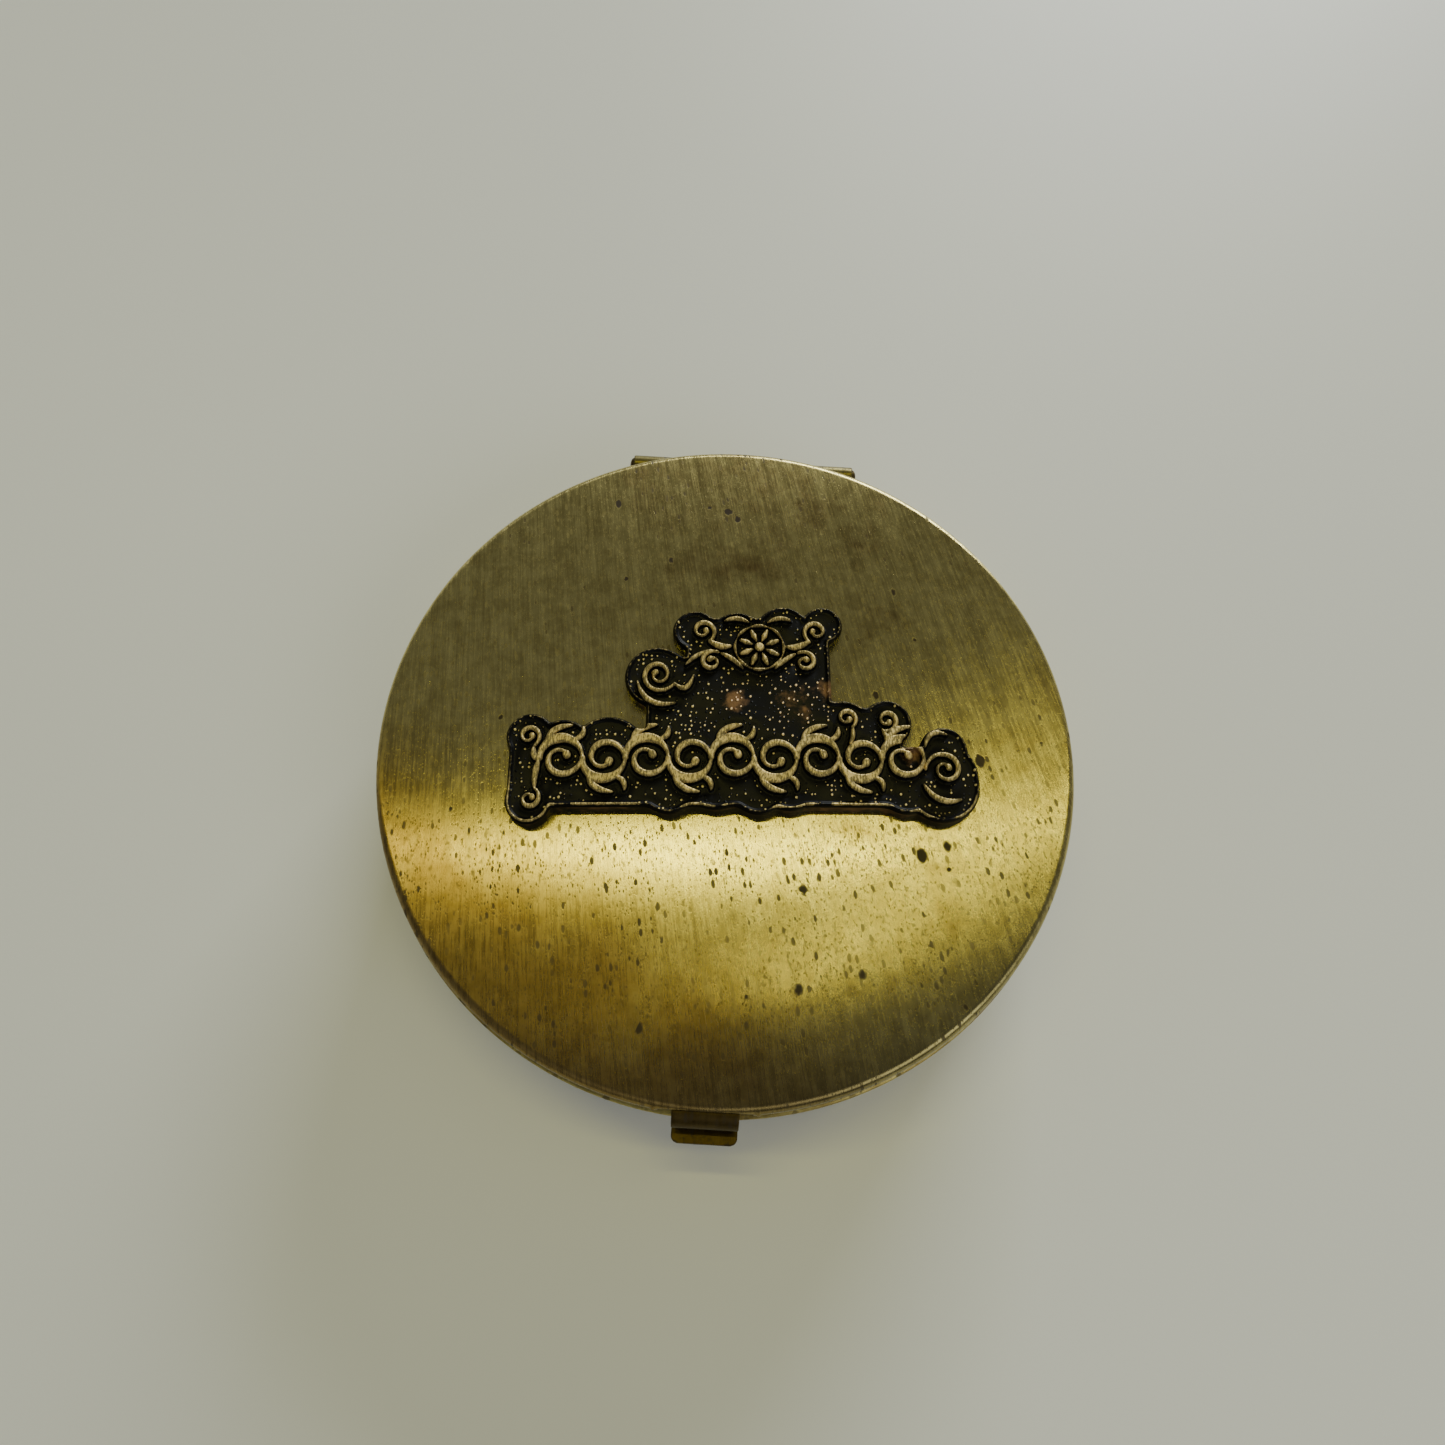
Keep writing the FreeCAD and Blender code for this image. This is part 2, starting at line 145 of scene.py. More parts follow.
def make_piece(name, verts, faces, body, node, material, grain=None, layers=None, close=False):
    """Puts a vertex array and an array of quads into a mesh, merges its doubles, and hangs it on its body.
    grain is a map of two numbers per face corner, layers are numbers per point, and close fills what is
    left open."""
    mesh = bpy.data.meshes.new(name)
    mesh.from_pydata(verts.tolist(), [], faces.tolist())
    if grain is not None:
        corners = mesh.uv_layers.new(name="grain").uv
        corners.foreach_set("vector", np.ascontiguousarray(grain, np.float32).ravel())
    for label, values in (layers or {}).items():
        layer = mesh.attributes.new(label, "FLOAT", "POINT")
        layer.data.foreach_set("value", np.ascontiguousarray(values, np.float32))
    merge = bmesh.new()
    merge.from_mesh(mesh)
    bmesh.ops.remove_doubles(merge, verts=merge.verts, dist=1e-8)
    bmesh.ops.dissolve_degenerate(merge, dist=1e-9, edges=merge.edges)
    if close:
        bmesh.ops.holes_fill(merge, edges=[edge for edge in merge.edges if edge.is_boundary], sides=0)
    bmesh.ops.recalc_face_normals(merge, faces=merge.faces)
    merge.to_mesh(mesh)
    merge.free()
    mesh.update()
    mesh.polygons.foreach_set("use_smooth", np.ones(len(mesh.polygons), bool))
    piece = bpy.data.objects.new(name, mesh)
    bpy.context.scene.collection.objects.link(piece)
    mesh.materials.append(material)
    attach(piece, body)
    if node:
        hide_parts(node)
    return piece


def grid_faces(rows, columns, wrap_rows, wrap_columns):
    """Quads between neighbouring points of a grid of rows by columns, wrapped round where asked."""
    i = np.arange(rows if wrap_rows else rows - 1)
    j = np.arange(columns if wrap_columns else columns - 1)
    i, j = (a.ravel() for a in np.meshgrid(i, j, indexing="ij"))
    ni, nj = (i + 1) % rows, (j + 1) % columns
    return np.stack([i * columns + j, i * columns + nj, ni * columns + nj, ni * columns + j], 1)


def sharpen(piece, degrees):
    """Marks edges sharper than an angle, so that flat and rounded parts shade apart."""
    piece.data.set_sharp_from_angle(angle=math.radians(degrees))
    return piece


def arc_points(centre, radius, start, end, count):
    """Points of a round arc: centre plus radius times the cosine and sine of evenly spaced angles."""
    turn = np.radians(np.linspace(start, end, count))
    return np.stack([centre[0] + radius * np.cos(turn), centre[1] + radius * np.sin(turn)], 1)


def straight(a, b, count):
    """Evenly spaced points from a to b, without b."""
    t = np.linspace(0, 1, count, endpoint=False)[:, None]
    return np.array(a) * (1 - t) + np.array(b) * t


def columns_with_edges(count, edges, fine_spots=()):
    """Angles round the axis: evenly spaced, with a close pair at each edge of a cut-out and extra ones at
    fine spots."""
    even = np.linspace(-math.pi, math.pi, count, endpoint=False)
    gap = math.tau / count
    pair = 2e-5
    close = np.array(edges)
    if len(close):
        even = even[np.min(np.abs(even[:, None] - close[None]), 1) > 0.4 * gap]
    fine = [np.linspace(s - 2 * gap, s + 2 * gap, 25) for s in fine_spots]
    extra = np.concatenate([close - pair, close + pair] + fine) if len(close) else np.zeros(0)
    return np.unique(np.concatenate([even, extra]))


def lathe(profiles, angles):
    """Turns profiles about the Z axis: point (r, z) of column j goes to (r sin a, -r cos a, z), with a = 0 at
    the catch. profiles is an array of points by columns by two, so a profile may change round the axis."""
    a = angles[None, :]
    r, z = profiles[..., 0], profiles[..., 1]
    return np.stack([r * np.sin(a), -r * np.cos(a), z], -1)


def lathe_x(profile, columns, y, z):
    """Turns a profile of (x, radius) points about a line along X through y and z."""
    a = np.linspace(0, math.tau, columns, endpoint=False)[None, :]
    x = np.repeat(profile[:, :1], columns, 1)
    radius = profile[:, 1:2]
    return np.stack([x, y + radius * np.cos(a), z + radius * np.sin(a)], -1)


# ---------------------------------------------------------------- node helpers

def new_group(name, inputs, outputs):
    """A shader node group with named inputs (name, kind, default) and outputs (name, kind)."""
    group = bpy.data.node_groups.new(name, "ShaderNodeTree")
    for label, kind, default in inputs:
        socket = group.interface.new_socket(name=label, in_out="INPUT", socket_type="NodeSocket" + kind)
        if default is not None:
            socket.default_value = default
    for label, kind in outputs:
        group.interface.new_socket(name=label, in_out="OUTPUT", socket_type="NodeSocket" + kind)
    return group


class Nodes:
    """Short ways to add and link nodes in one tree."""

    def __init__(self, tree):
        self.tree = tree

    def add(self, kind, **values):
        """A new node of a kind, with its settings."""
        node = self.tree.nodes.new("ShaderNode" + kind)
        for key, value in values.items():
            setattr(node, key, value)
        return node

    def put(self, socket, value):
        """Links an output to a socket, or sets the socket's own value."""
        if isinstance(value, bpy.types.NodeSocket):
            self.tree.links.new(value, socket)
        elif value is not None:
            socket.default_value = value

    def math(self, operation, a, b=None, c=None, clamp=False):
        """A math node's result."""
        node = self.add("Math", operation=operation, use_clamp=clamp)
        for socket, value in zip(node.inputs, (a, b, c)):
            self.put(socket, value)
        return node.outputs[0]

    def vector(self, operation, a, b=None):
        """A vector math node's result, a number for a length, distance or dot product."""
        node = self.add("VectorMath", operation=operation)
        for socket, value in zip(node.inputs, (a, b)):
            self.put(socket, value)
        number = operation in ("LENGTH", "DISTANCE", "DOT_PRODUCT")
        return node.outputs["Value"] if number else node.outputs[0]

    def mix(self, factor, a, b):
        """Colour a at factor 0 and colour b at factor 1."""
        return self.blend("MIX", factor, a, b)

    def blend(self, mode, factor, a, b):
        """Colour b laid on colour a in a blend mode."""
        node = self.add("Mix", data_type="RGBA", blend_type=mode)
        self.put(node.inputs[0], factor)
        self.put(node.inputs[6], a)
        self.put(node.inputs[7], b)
        return node.outputs[2]

    def range(self, value, low, high, to_low=0.0, to_high=1.0):
        """A smooth step of a value from one range to another."""
        node = self.add("MapRange", interpolation_type="SMOOTHSTEP")
        for socket, item in zip(node.inputs, (value, low, high, to_low, to_high)):
            self.put(socket, item)
        return node.outputs[0]

    def noise(self, vector, scale, detail=3.0, roughness=0.55, distortion=0.0):
        """A noise texture's value."""
        node = self.add("TexNoise")
        self.put(node.inputs["Vector"], vector)
        self.put(node.inputs["Scale"], scale)
        self.put(node.inputs["Detail"], detail)
        self.put(node.inputs["Roughness"], roughness)
        self.put(node.inputs["Distortion"], distortion)
        return node.outputs["Fac"]

    def cells(self, vector, scale, randomness=1.0):
        """The distance to the nearest cell's point, and that cell's own shade."""
        node = self.add("TexVoronoi")
        self.put(node.inputs["Vector"], vector)
        self.put(node.inputs["Scale"], scale)
        self.put(node.inputs["Randomness"], randomness)
        return node.outputs["Distance"], node.outputs["Color"]

    def scaled(self, vector, scale):
        """A vector scaled along each axis."""
        node = self.add("Mapping")
        self.put(node.inputs["Vector"], vector)
        node.inputs["Scale"].default_value = scale
        return node.outputs[0]

    def group(self, group, **values):
        """A node that uses a group, with values for its sockets, an underscore standing for a space."""
        node = self.add("Group", node_tree=group)
        for key, value in values.items():
            self.put(node.inputs[key.replace("_", " ")], value)
        return node


def rgba(colour_value):
    """A colour with full alpha."""
    return (colour_value[0], colour_value[1], colour_value[2], 1.0)


def group_ends(group):
    """The group's input and output nodes."""
    return group.nodes.new("NodeGroupInput"), group.nodes.new("NodeGroupOutput")


# ---------------------------------------------------------------- shared effects

def brushed_lines_group():
    """Satin brushing: the coordinate's X runs along the strokes and its Y across them, both in metres."""
    group = new_group("brushed_lines", [("Along", "Vector", None), ("Fineness", "Float", 1.0)],
                      [("Streaks", "Float"), ("Height", "Float")])
    start, end = group_ends(group)
    n = Nodes(group)
    place = n.vector("SCALE", start.outputs["Along"])
    n.put(place.node.inputs["Scale"], start.outputs["Fineness"])
    long = n.noise(n.scaled(place, (160.0, 5200.0, 160.0)), 1.0, 3.0, 0.7)
    short = n.noise(n.scaled(place, (500.0, 9000.0, 500.0)), 1.0, 3.0, 0.7)
    broad = n.noise(n.scaled(place, (60.0, 1500.0, 60.0)), 1.0, 3.0, 0.6)
    streaks = n.math("MULTIPLY_ADD", short, 0.35, n.math("MULTIPLY", long, 0.40))
    streaks = n.math("MULTIPLY_ADD", broad, 0.25, streaks)
    n.put(end.inputs["Streaks"], n.range(streaks, 0.40, 0.60))
    n.put(end.inputs["Height"], streaks)
    return group


def specks_group():
    """Small dark specks and pits, drawn out along the brushing and gathered in patches. X runs along the
    strokes."""
    group = new_group("specks", [("Along", "Vector", None), ("Amount", "Float", 1.0)],
                      [("Specks", "Float"), ("Pits", "Float")])
    start, end = group_ends(group)
    n = Nodes(group)
    place = start.outputs["Along"]
    wobble = n.noise(n.scaled(place, (2600.0, 5200.0, 2600.0)), 1.0, 3.0, 0.65)
    patches = n.range(n.noise(n.scaled(place, (120.0, 170.0, 120.0)), 1.0, 4.0, 0.65), 0.36, 0.62)
    smudge = n.noise(n.scaled(place, (1300.0, 3400.0, 1300.0)), 1.0, 4.0, 0.72)
    smudge = n.math("MULTIPLY", n.range(smudge, 0.53, 0.68), 0.45)
    far, shade = n.cells(n.scaled(place, (1050.0, 2300.0, 1050.0)), 1.0)
    size = n.math("MULTIPLY", n.range(shade, 0.42, 0.78), 0.34)
    size = n.math("MULTIPLY_ADD", n.math("SUBTRACT", wobble, 0.5), 0.28, size)
    dots = n.math("MULTIPLY", n.range(n.math("SUBTRACT", size, far), -0.02, 0.07), n.range(shade, 0.41, 0.48))
    near, tone = n.cells(n.scaled(place, (2900.0, 5600.0, 2900.0)), 1.0)
    dust = n.math("MULTIPLY", n.range(near, 0.36, 0.16), n.range(tone, 0.40, 0.56))
    specks = n.math("MAXIMUM", n.math("MAXIMUM", smudge, dots), n.math("MULTIPLY", dust, 0.85))
    gathered = n.math("MULTIPLY", specks, n.math("MULTIPLY_ADD", patches, 0.6, 0.4))
    n.put(end.inputs["Specks"], n.math("MULTIPLY", gathered, start.outputs["Amount"], clamp=True))
    distance, large = n.cells(n.scaled(place, (330.0, 480.0, 330.0)), 1.0)
    size = n.math("MULTIPLY", n.range(large, 0.68, 0.88), 0.22)
    uneven = n.math("MULTIPLY", n.math("SUBTRACT", wobble, 0.5), 0.12)
    pit = n.range(n.math("ADD", n.math("SUBTRACT", size, distance), uneven), 0.0, 0.07)
    n.put(end.inputs["Pits"], n.math("MULTIPLY", pit, start.outputs["Amount"], clamp=True))
    return group


def tarnish_group():
    """Cloudy tarnish: soft patches with mottled edges, from the place on the object."""
    group = new_group("tarnish", [("Place", "Vector", None), ("Reach", "Float", 0.5)], [("Clouds", "Float")])
    start, end = group_ends(group)
    n = Nodes(group)
    large = n.noise(start.outputs["Place"], 55.0, 4.0, 0.6, 0.6)
    small = n.noise(start.outputs["Place"], 420.0, 4.0, 0.7)
    cloud = n.math("MULTIPLY_ADD", small, 0.35, n.math("MULTIPLY", large, 0.65))
    low = n.math("SUBTRACT", 0.78, n.math("MULTIPLY", start.outputs["Reach"], 0.5))
    n.put(end.inputs["Clouds"], n.range(cloud, n.math("SUBTRACT", low, 0.10), n.math("ADD", low, 0.10)))
    return group


def round_spot_group():
    """One larger pit with a ragged edge at a given place on the lid: 1 within its radius, 0 outside."""
    group = new_group("round_spot", [("Place", "Vector", None), ("Centre", "Vector", None),
                                     ("Radius", "Float", 0.3 * MM)], [("Spot", "Float")])
    start, end = group_ends(group)
    n = Nodes(group)
    ragged = n.noise(start.outputs["Place"], 2600.0, 2.0, 0.6)
    far = n.vector("DISTANCE", start.outputs["Place"], start.outputs["Centre"])
    edge = n.math("MULTIPLY", start.outputs["Radius"], n.math("MULTIPLY_ADD", ragged, 1.6, 0.2))
    ratio = n.math("DIVIDE", far, edge)
    n.put(end.inputs["Spot"], n.range(ratio, 1.15, 0.75))
    return group


def effects():
    """The shared node groups, built once."""
    makers = {"brushed_lines": brushed_lines_group, "specks": specks_group, "tarnish": tarnish_group,
              "round_spot": round_spot_group}
    return {name: bpy.data.node_groups.get(name) or make() for name, make in makers.items()}


def new_material(name):
    """An empty material with a Principled shader and its output."""
    material = bpy.data.materials.new(name)
    material.use_nodes = True
    tree = material.node_tree
    tree.nodes.clear()
    n = Nodes(tree)
    shader = n.add("BsdfPrincipled")
    output = n.add("OutputMaterial")
    tree.links.new(shader.outputs[0], output.inputs["Surface"])
    return material, n, shader


def place_on_object(n):
    """Object coordinates."""
    return n.add("TexCoord").outputs["Object"]


def bump(n, height, distance, strength=1.0, normal=None):
    """A bump node's normal."""
    node = n.add("Bump")
    node.inputs["Distance"].default_value = distance
    node.inputs["Strength"].default_value = strength
    n.put(node.inputs["Height"], height)
    n.put(node.inputs["Normal"], normal)
    return node.outputs[0]


# ---------------------------------------------------------------- finishes

def one_side(n, place, direction, start, end):
    """A ragged mask that rises from start to end along a direction."""
    side = n.range(n.vector("DOT_PRODUCT", place, direction), start, end)
    ragged = n.math("MULTIPLY_ADD", n.noise(place, 160.0, 4.0, 0.65), 0.9, 0.55)
    return n.math("MULTIPLY", side, ragged, clamp=True)


def brass_material(name, colours, tint=1.0, tarnish=0.4, specks=0.7, roughness=0.3, grain=0.8, fineness=1.0,
                   painted_brown_shade_towards=None, painted_shade_towards=None, spots=()):
    """Satin brass: brushed lines along the piece's own grain map, specks and pits drawn out along them,
    cloudy brown tarnish, larger pits at named spots, and, where asked, painted shade: browner or grey-olive
    colour laid towards one side to stand in for dark reflections."""
    shared = effects()
    material, n, shader = new_material(name)
    uv = n.add("UVMap", uv_map="grain").outputs[0]
    place = place_on_object(n)
    lines = n.group(shared["brushed_lines"], Along=uv, Fineness=fineness)
    dirt = n.group(shared["specks"], Along=uv, Amount=specks)
    cloud = n.group(shared["tarnish"], Place=place, Reach=tarnish).outputs["Clouds"]
    # Painted shade: the tarnish colour is pushed towards brown on one side, standing in for a dark
    # reflection.
    if painted_brown_shade_towards:
        cloud = n.math("MAXIMUM", cloud, one_side(n, place, *painted_brown_shade_towards))
    pits = dirt.outputs["Pits"]
    for centre, radius in spots:
        spot = n.group(shared["round_spot"], Place=place, Centre=centre, Radius=radius).outputs["Spot"]
        pits = n.math("MAXIMUM", pits, spot)
    metal = tuple(c * tint for c in colours.brass) + (1.0,)
    brown = tuple(c * tint for c in colours.brown) + (1.0,)
    shade = n.mix(n.math("MULTIPLY", cloud, 0.82), metal, brown)
    # Painted shade: grey-olive colour laid towards one side, standing in for a dark reflection.
    if painted_shade_towards:
        shade = n.mix(n.math("MULTIPLY", one_side(n, place, *painted_shade_towards), 0.8), shade, rgba(colours.dull))
    mottle = n.range(n.noise(place, 700.0, 5.0, 0.75), 0.35, 0.65)
    shade = n.blend("MULTIPLY", 0.5, shade, n.mix(mottle, (0.62, 0.58, 0.48, 1), (1.15, 1.15, 1.12, 1)))
    streak = n.mix(lines.outputs["Streaks"], (0.50, 0.46, 0.38, 1), (1.25, 1.25, 1.2, 1))
    shade = n.blend("MULTIPLY", 0.38, shade, streak)
    dark = n.math("MAXIMUM", n.math("MULTIPLY", dirt.outputs["Specks"], 0.85), pits)
    n.put(shader.inputs["Base Color"], n.mix(dark, shade, rgba(colours.pit)))
    n.put(shader.inputs["Metallic"], n.math("SUBTRACT", 1.0, n.math("MULTIPLY", dark, 0.75)))
    rough = n.math("MULTIPLY_ADD", lines.outputs["Streaks"], 0.08, roughness - 0.04)
    rough = n.math("MULTIPLY_ADD", cloud, 0.05, rough)
    n.put(shader.inputs["Roughness"], n.math("MULTIPLY_ADD", dark, 0.35, rough))
    shader.inputs["Anisotropic"].default_value = grain
    shader.inputs["Anisotropic Rotation"].default_value = 0.25
    n.put(shader.inputs["Tangent"], n.add("Tangent", direction_type="UV_MAP", uv_map="grain").outputs[0])
    relief = bump(n, lines.outputs["Height"], 0.012 * MM, 0.6)
    relief = bump(n, n.math("SUBTRACT", 1.0, dark), 0.012 * MM, 0.35, relief)
    n.put(shader.inputs["Normal"], relief)
    return material


def casting_material(colours):
    """Blackened casting: black patina in the ground, rubbed pale tops scored lengthwise, tiny pearls from a
    cell pattern on the plan with bright tips, and coppery rubbed zones. The piece's relief layer is 0 in the
    ground and 1 on the tops, pearls is 1 where pearls may stand, and worn is 1 where the ground is
    rubbed and where painted glints brighten the pearl tips."""
    material, n, shader = new_material("antiqued_casting")
    place = place_on_object(n)
    relief = n.add("Attribute", attribute_name="relief").outputs["Fac"]
    room = n.add("Attribute", attribute_name="pearls").outputs["Fac"]
    worn = n.add("Attribute", attribute_name="worn").outputs["Fac"]
    plan = n.scaled(place, (1.0, 1.0, 0.0))
    along = n.noise(n.scaled(place, (9000.0, 2600.0, 3000.0)), 1.0, 4.0, 0.7)
    blotch = n.noise(place, 1300.0, 4.0, 0.65)
    far, shade = n.cells(plan, 2700.0, 0.62)
    size = n.math("MULTIPLY_ADD", shade, 0.20, 0.22)
    round_pearl = n.range(n.math("DIVIDE", far, size), 1.25, 0.35)
    round_pearl = n.math("MULTIPLY", round_pearl, n.range(room, 0.35, 0.75))
    top = n.range(n.math("ADD", relief, n.math("MULTIPLY", n.math("SUBTRACT", blotch, 0.5), 0.4)), 0.50, 0.72)
    scored = n.range(n.math("MULTIPLY_ADD", along, 0.7, n.math("MULTIPLY", blotch, 0.3)), 0.45, 0.56)
    top = n.math("MULTIPLY", top, n.math("MULTIPLY_ADD", scored, 0.75, 0.25))
    # Bright pearl tips: partly rubbed metal and partly painted glints.
    lit = n.math("MULTIPLY_ADD", worn, 0.85, n.range(shade, 0.25, 0.55, 0.25, 0.9), clamp=True)
    tip = n.math("MULTIPLY", n.range(round_pearl, 0.45, 0.85), lit)
    spread = n.math("ADD", worn, n.math("MULTIPLY", n.math("SUBTRACT", blotch, 0.5), 1.1))
    rubbed = n.math("MULTIPLY", n.range(spread, 0.70, 1.15), n.math("MULTIPLY_ADD", round_pearl, 0.5, 0.35))
    tone = n.mix(rubbed, rgba(colours.patina), rgba(colours.copper))
    tone = n.mix(tip, tone, n.mix(worn, rgba(colours.bright), (0.85, 0.60, 0.36, 1)))
    tone = n.mix(top, tone, n.mix(blotch, rgba(colours.bright), (0.64, 0.48, 0.20, 1)))
    bare = n.math("MAXIMUM", n.math("MAXIMUM", top, tip), rubbed)
    n.put(shader.inputs["Base Color"], tone)
    metal = n.math("MAXIMUM", n.math("MAXIMUM", top, rubbed), n.math("MULTIPLY", tip, 0.55))
    n.put(shader.inputs["Metallic"], n.math("MULTIPLY", metal, 0.92))
    rough = n.math("MULTIPLY_ADD", blotch, 0.14, 0.34)
    n.put(shader.inputs["Roughness"], n.math("MULTIPLY_ADD", bare, 0.16, rough))
    shader.inputs["Specular IOR Level"].default_value = 0.14
    height = n.math("MULTIPLY_ADD", along, 0.25, n.math("MULTIPLY", n.noise(place, 5200.0, 4.0, 0.6), 0.5))
    dull = bump(n, height, 0.012 * MM, 0.4)
    n.put(shader.inputs["Normal"], bump(n, round_pearl, 0.09 * MM, 1.0, dull))
    return material


def felt_material(name, colours):
    """Short dense felt: fibre noise in colour and bump, with a soft sheen."""
    material, n, shader = new_material(name)
    place = place_on_object(n)
    fibre = n.noise(place, 5200.0, 5.0, 0.75, 0.8)
    matted = n.noise(place, 420.0, 4.0, 0.6)
    dark, light = (rgba([c * share for c in colours.felt]) for share in (0.5, 2.2))
    tone = n.mix(n.range(fibre, 0.3, 0.75), dark, light)
    tone = n.blend("MULTIPLY", 0.5, tone, n.mix(matted, (0.6, 0.6, 0.6, 1), (1.3, 1.3, 1.3, 1)))
    n.put(shader.inputs["Base Color"], tone)
    shader.inputs["Roughness"].default_value = 0.95
    shader.inputs["Sheen Weight"].default_value = 0.35
    shader.inputs["Sheen Roughness"].default_value = 0.5
    height = n.math("MULTIPLY_ADD", matted, 0.6, fibre)
    n.put(shader.inputs["Normal"], bump(n, height, 0.12 * MM, 0.8))
    return material


def steel_material():
    """Dull pressed steel of the push-on nuts."""
    material, n, shader = new_material("nut_steel")
    place = place_on_object(n)
    rolled = n.noise(n.scaled(place, (900.0, 5200.0, 900.0)), 1.0, 4.0, 0.6)
    stain = n.noise(place, 900.0, 3.0, 0.6)
    tone = n.mix(n.range(stain, 0.45, 0.7), (0.42, 0.42, 0.43, 1), (0.25, 0.21, 0.17, 1))
    n.put(shader.inputs["Base Color"], tone)
    shader.inputs["Metallic"].default_value = 1.0
    n.put(shader.inputs["Roughness"], n.math("MULTIPLY_ADD", rolled, 0.25, 0.28))
    n.put(shader.inputs["Normal"], bump(n, rolled, 0.01 * MM, 0.5))
    return material


def floor_material(colours):
    """Pale laminate table top with a faint mottle and fine grain."""
    material, n, shader = new_material("pale_floor")
    place = place_on_object(n)
    mottle = n.noise(place, 14.0, 3.0, 0.5)
    fine = n.noise(place, 2600.0, 3.0, 0.6)
    dark, light = (rgba([min(1.0, c * share) for c in colours.floor]) for share in (0.97, 1.03))
    tone = n.mix(mottle, dark, light)
    n.put(shader.inputs["Base Color"], tone)
    n.put(shader.inputs["Roughness"], n.math("MULTIPLY_ADD", mottle, 0.10, 0.48))
    n.put(shader.inputs["Normal"], bump(n, fine, 0.02 * MM, 0.25))
    return material


# ---------------------------------------------------------------- shells turned about the Z axis

# The point behind the case that the brushing strokes fan out from.
GRAIN_CENTRE = np.array([-44.0, 205.0]) * MM
# Two small burrs on the skirt beside the catch window.
BURR_BESIDE = 0.35 * MM
BURR_WIDTH = 0.13 * MM
BURR_HEIGHT = 0.22 * MM
BURR_BELOW = 0.62 * MM      # below the lid's rim
BURR_PROUD = 0.16 * MM


def fanned_grain(x, y):
    """Grain map of the flat faces: X is the distance from a far centre behind the case, along the strokes,
    and Y the turn about it times its distance, across them, so the strokes fan out a little to the front."""
    away = np.stack([x - GRAIN_CENTRE[0], y - GRAIN_CENTRE[1]], -1)
    reach = np.linalg.norm(GRAIN_CENTRE)
    middle = math.atan2(-GRAIN_CENTRE[1], -GRAIN_CENTRE[0])
    turn = np.arctan2(away[..., 1], away[..., 0]) - middle
    turn = (turn + math.pi) % math.tau - math.pi
    return np.stack([np.linalg.norm(away, axis=-1), turn * reach], -1)


def shell_piece(name, profiles, angles, flat_rows, body, node, material):
    """A shell turned about the Z axis. Its grain map is fanned on the flat rows and runs round the wall."""
    closed = np.append(angles, angles[0] + math.tau)
    around = lathe(np.concatenate([profiles, profiles[:, :1]], 1), closed)
    fanned = fanned_grain(around[..., 0], around[..., 1])
    wall = np.stack([np.broadcast_to(closed * CASE_RADIUS, around.shape[:2]), around[..., 2]], -1)
    rows, columns = profiles.shape[:2]
    i, j = (a.ravel() for a in np.meshgrid(np.arange(rows - 1), np.arange(columns), indexing="ij"))
    corners_i = np.stack([i, i, i + 1, i + 1], 1)
    corners_j = np.stack([j, j + 1, j + 1, j], 1)
    use = np.asarray(flat_rows)[i][:, None, None]
    grain = np.where(use, fanned[corners_i, corners_j], wall[corners_i, corners_j])
    verts = lathe(profiles, angles).reshape(-1, 3)
    faces = grid_faces(rows, columns, False, True)
    piece = make_piece(name, verts, faces, body, node, material, grain)
    return sharpen(piece, 40)


def cut_edges(half_width, radius, at_back):
    """Angles round the axis at which a straight cut-out of a half width meets the wall."""
    turn = math.asin(half_width / radius)
    return [math.pi - turn, turn - math.pi] if at_back else [turn, -turn]


def in_cut(angles, half_width, radius, at_back):
    """True for the columns inside a cut-out at the back or at the front."""
    turn = math.asin(half_width / radius)
    return np.abs(angles) > math.pi - turn if at_back else np.abs(angles) < turn


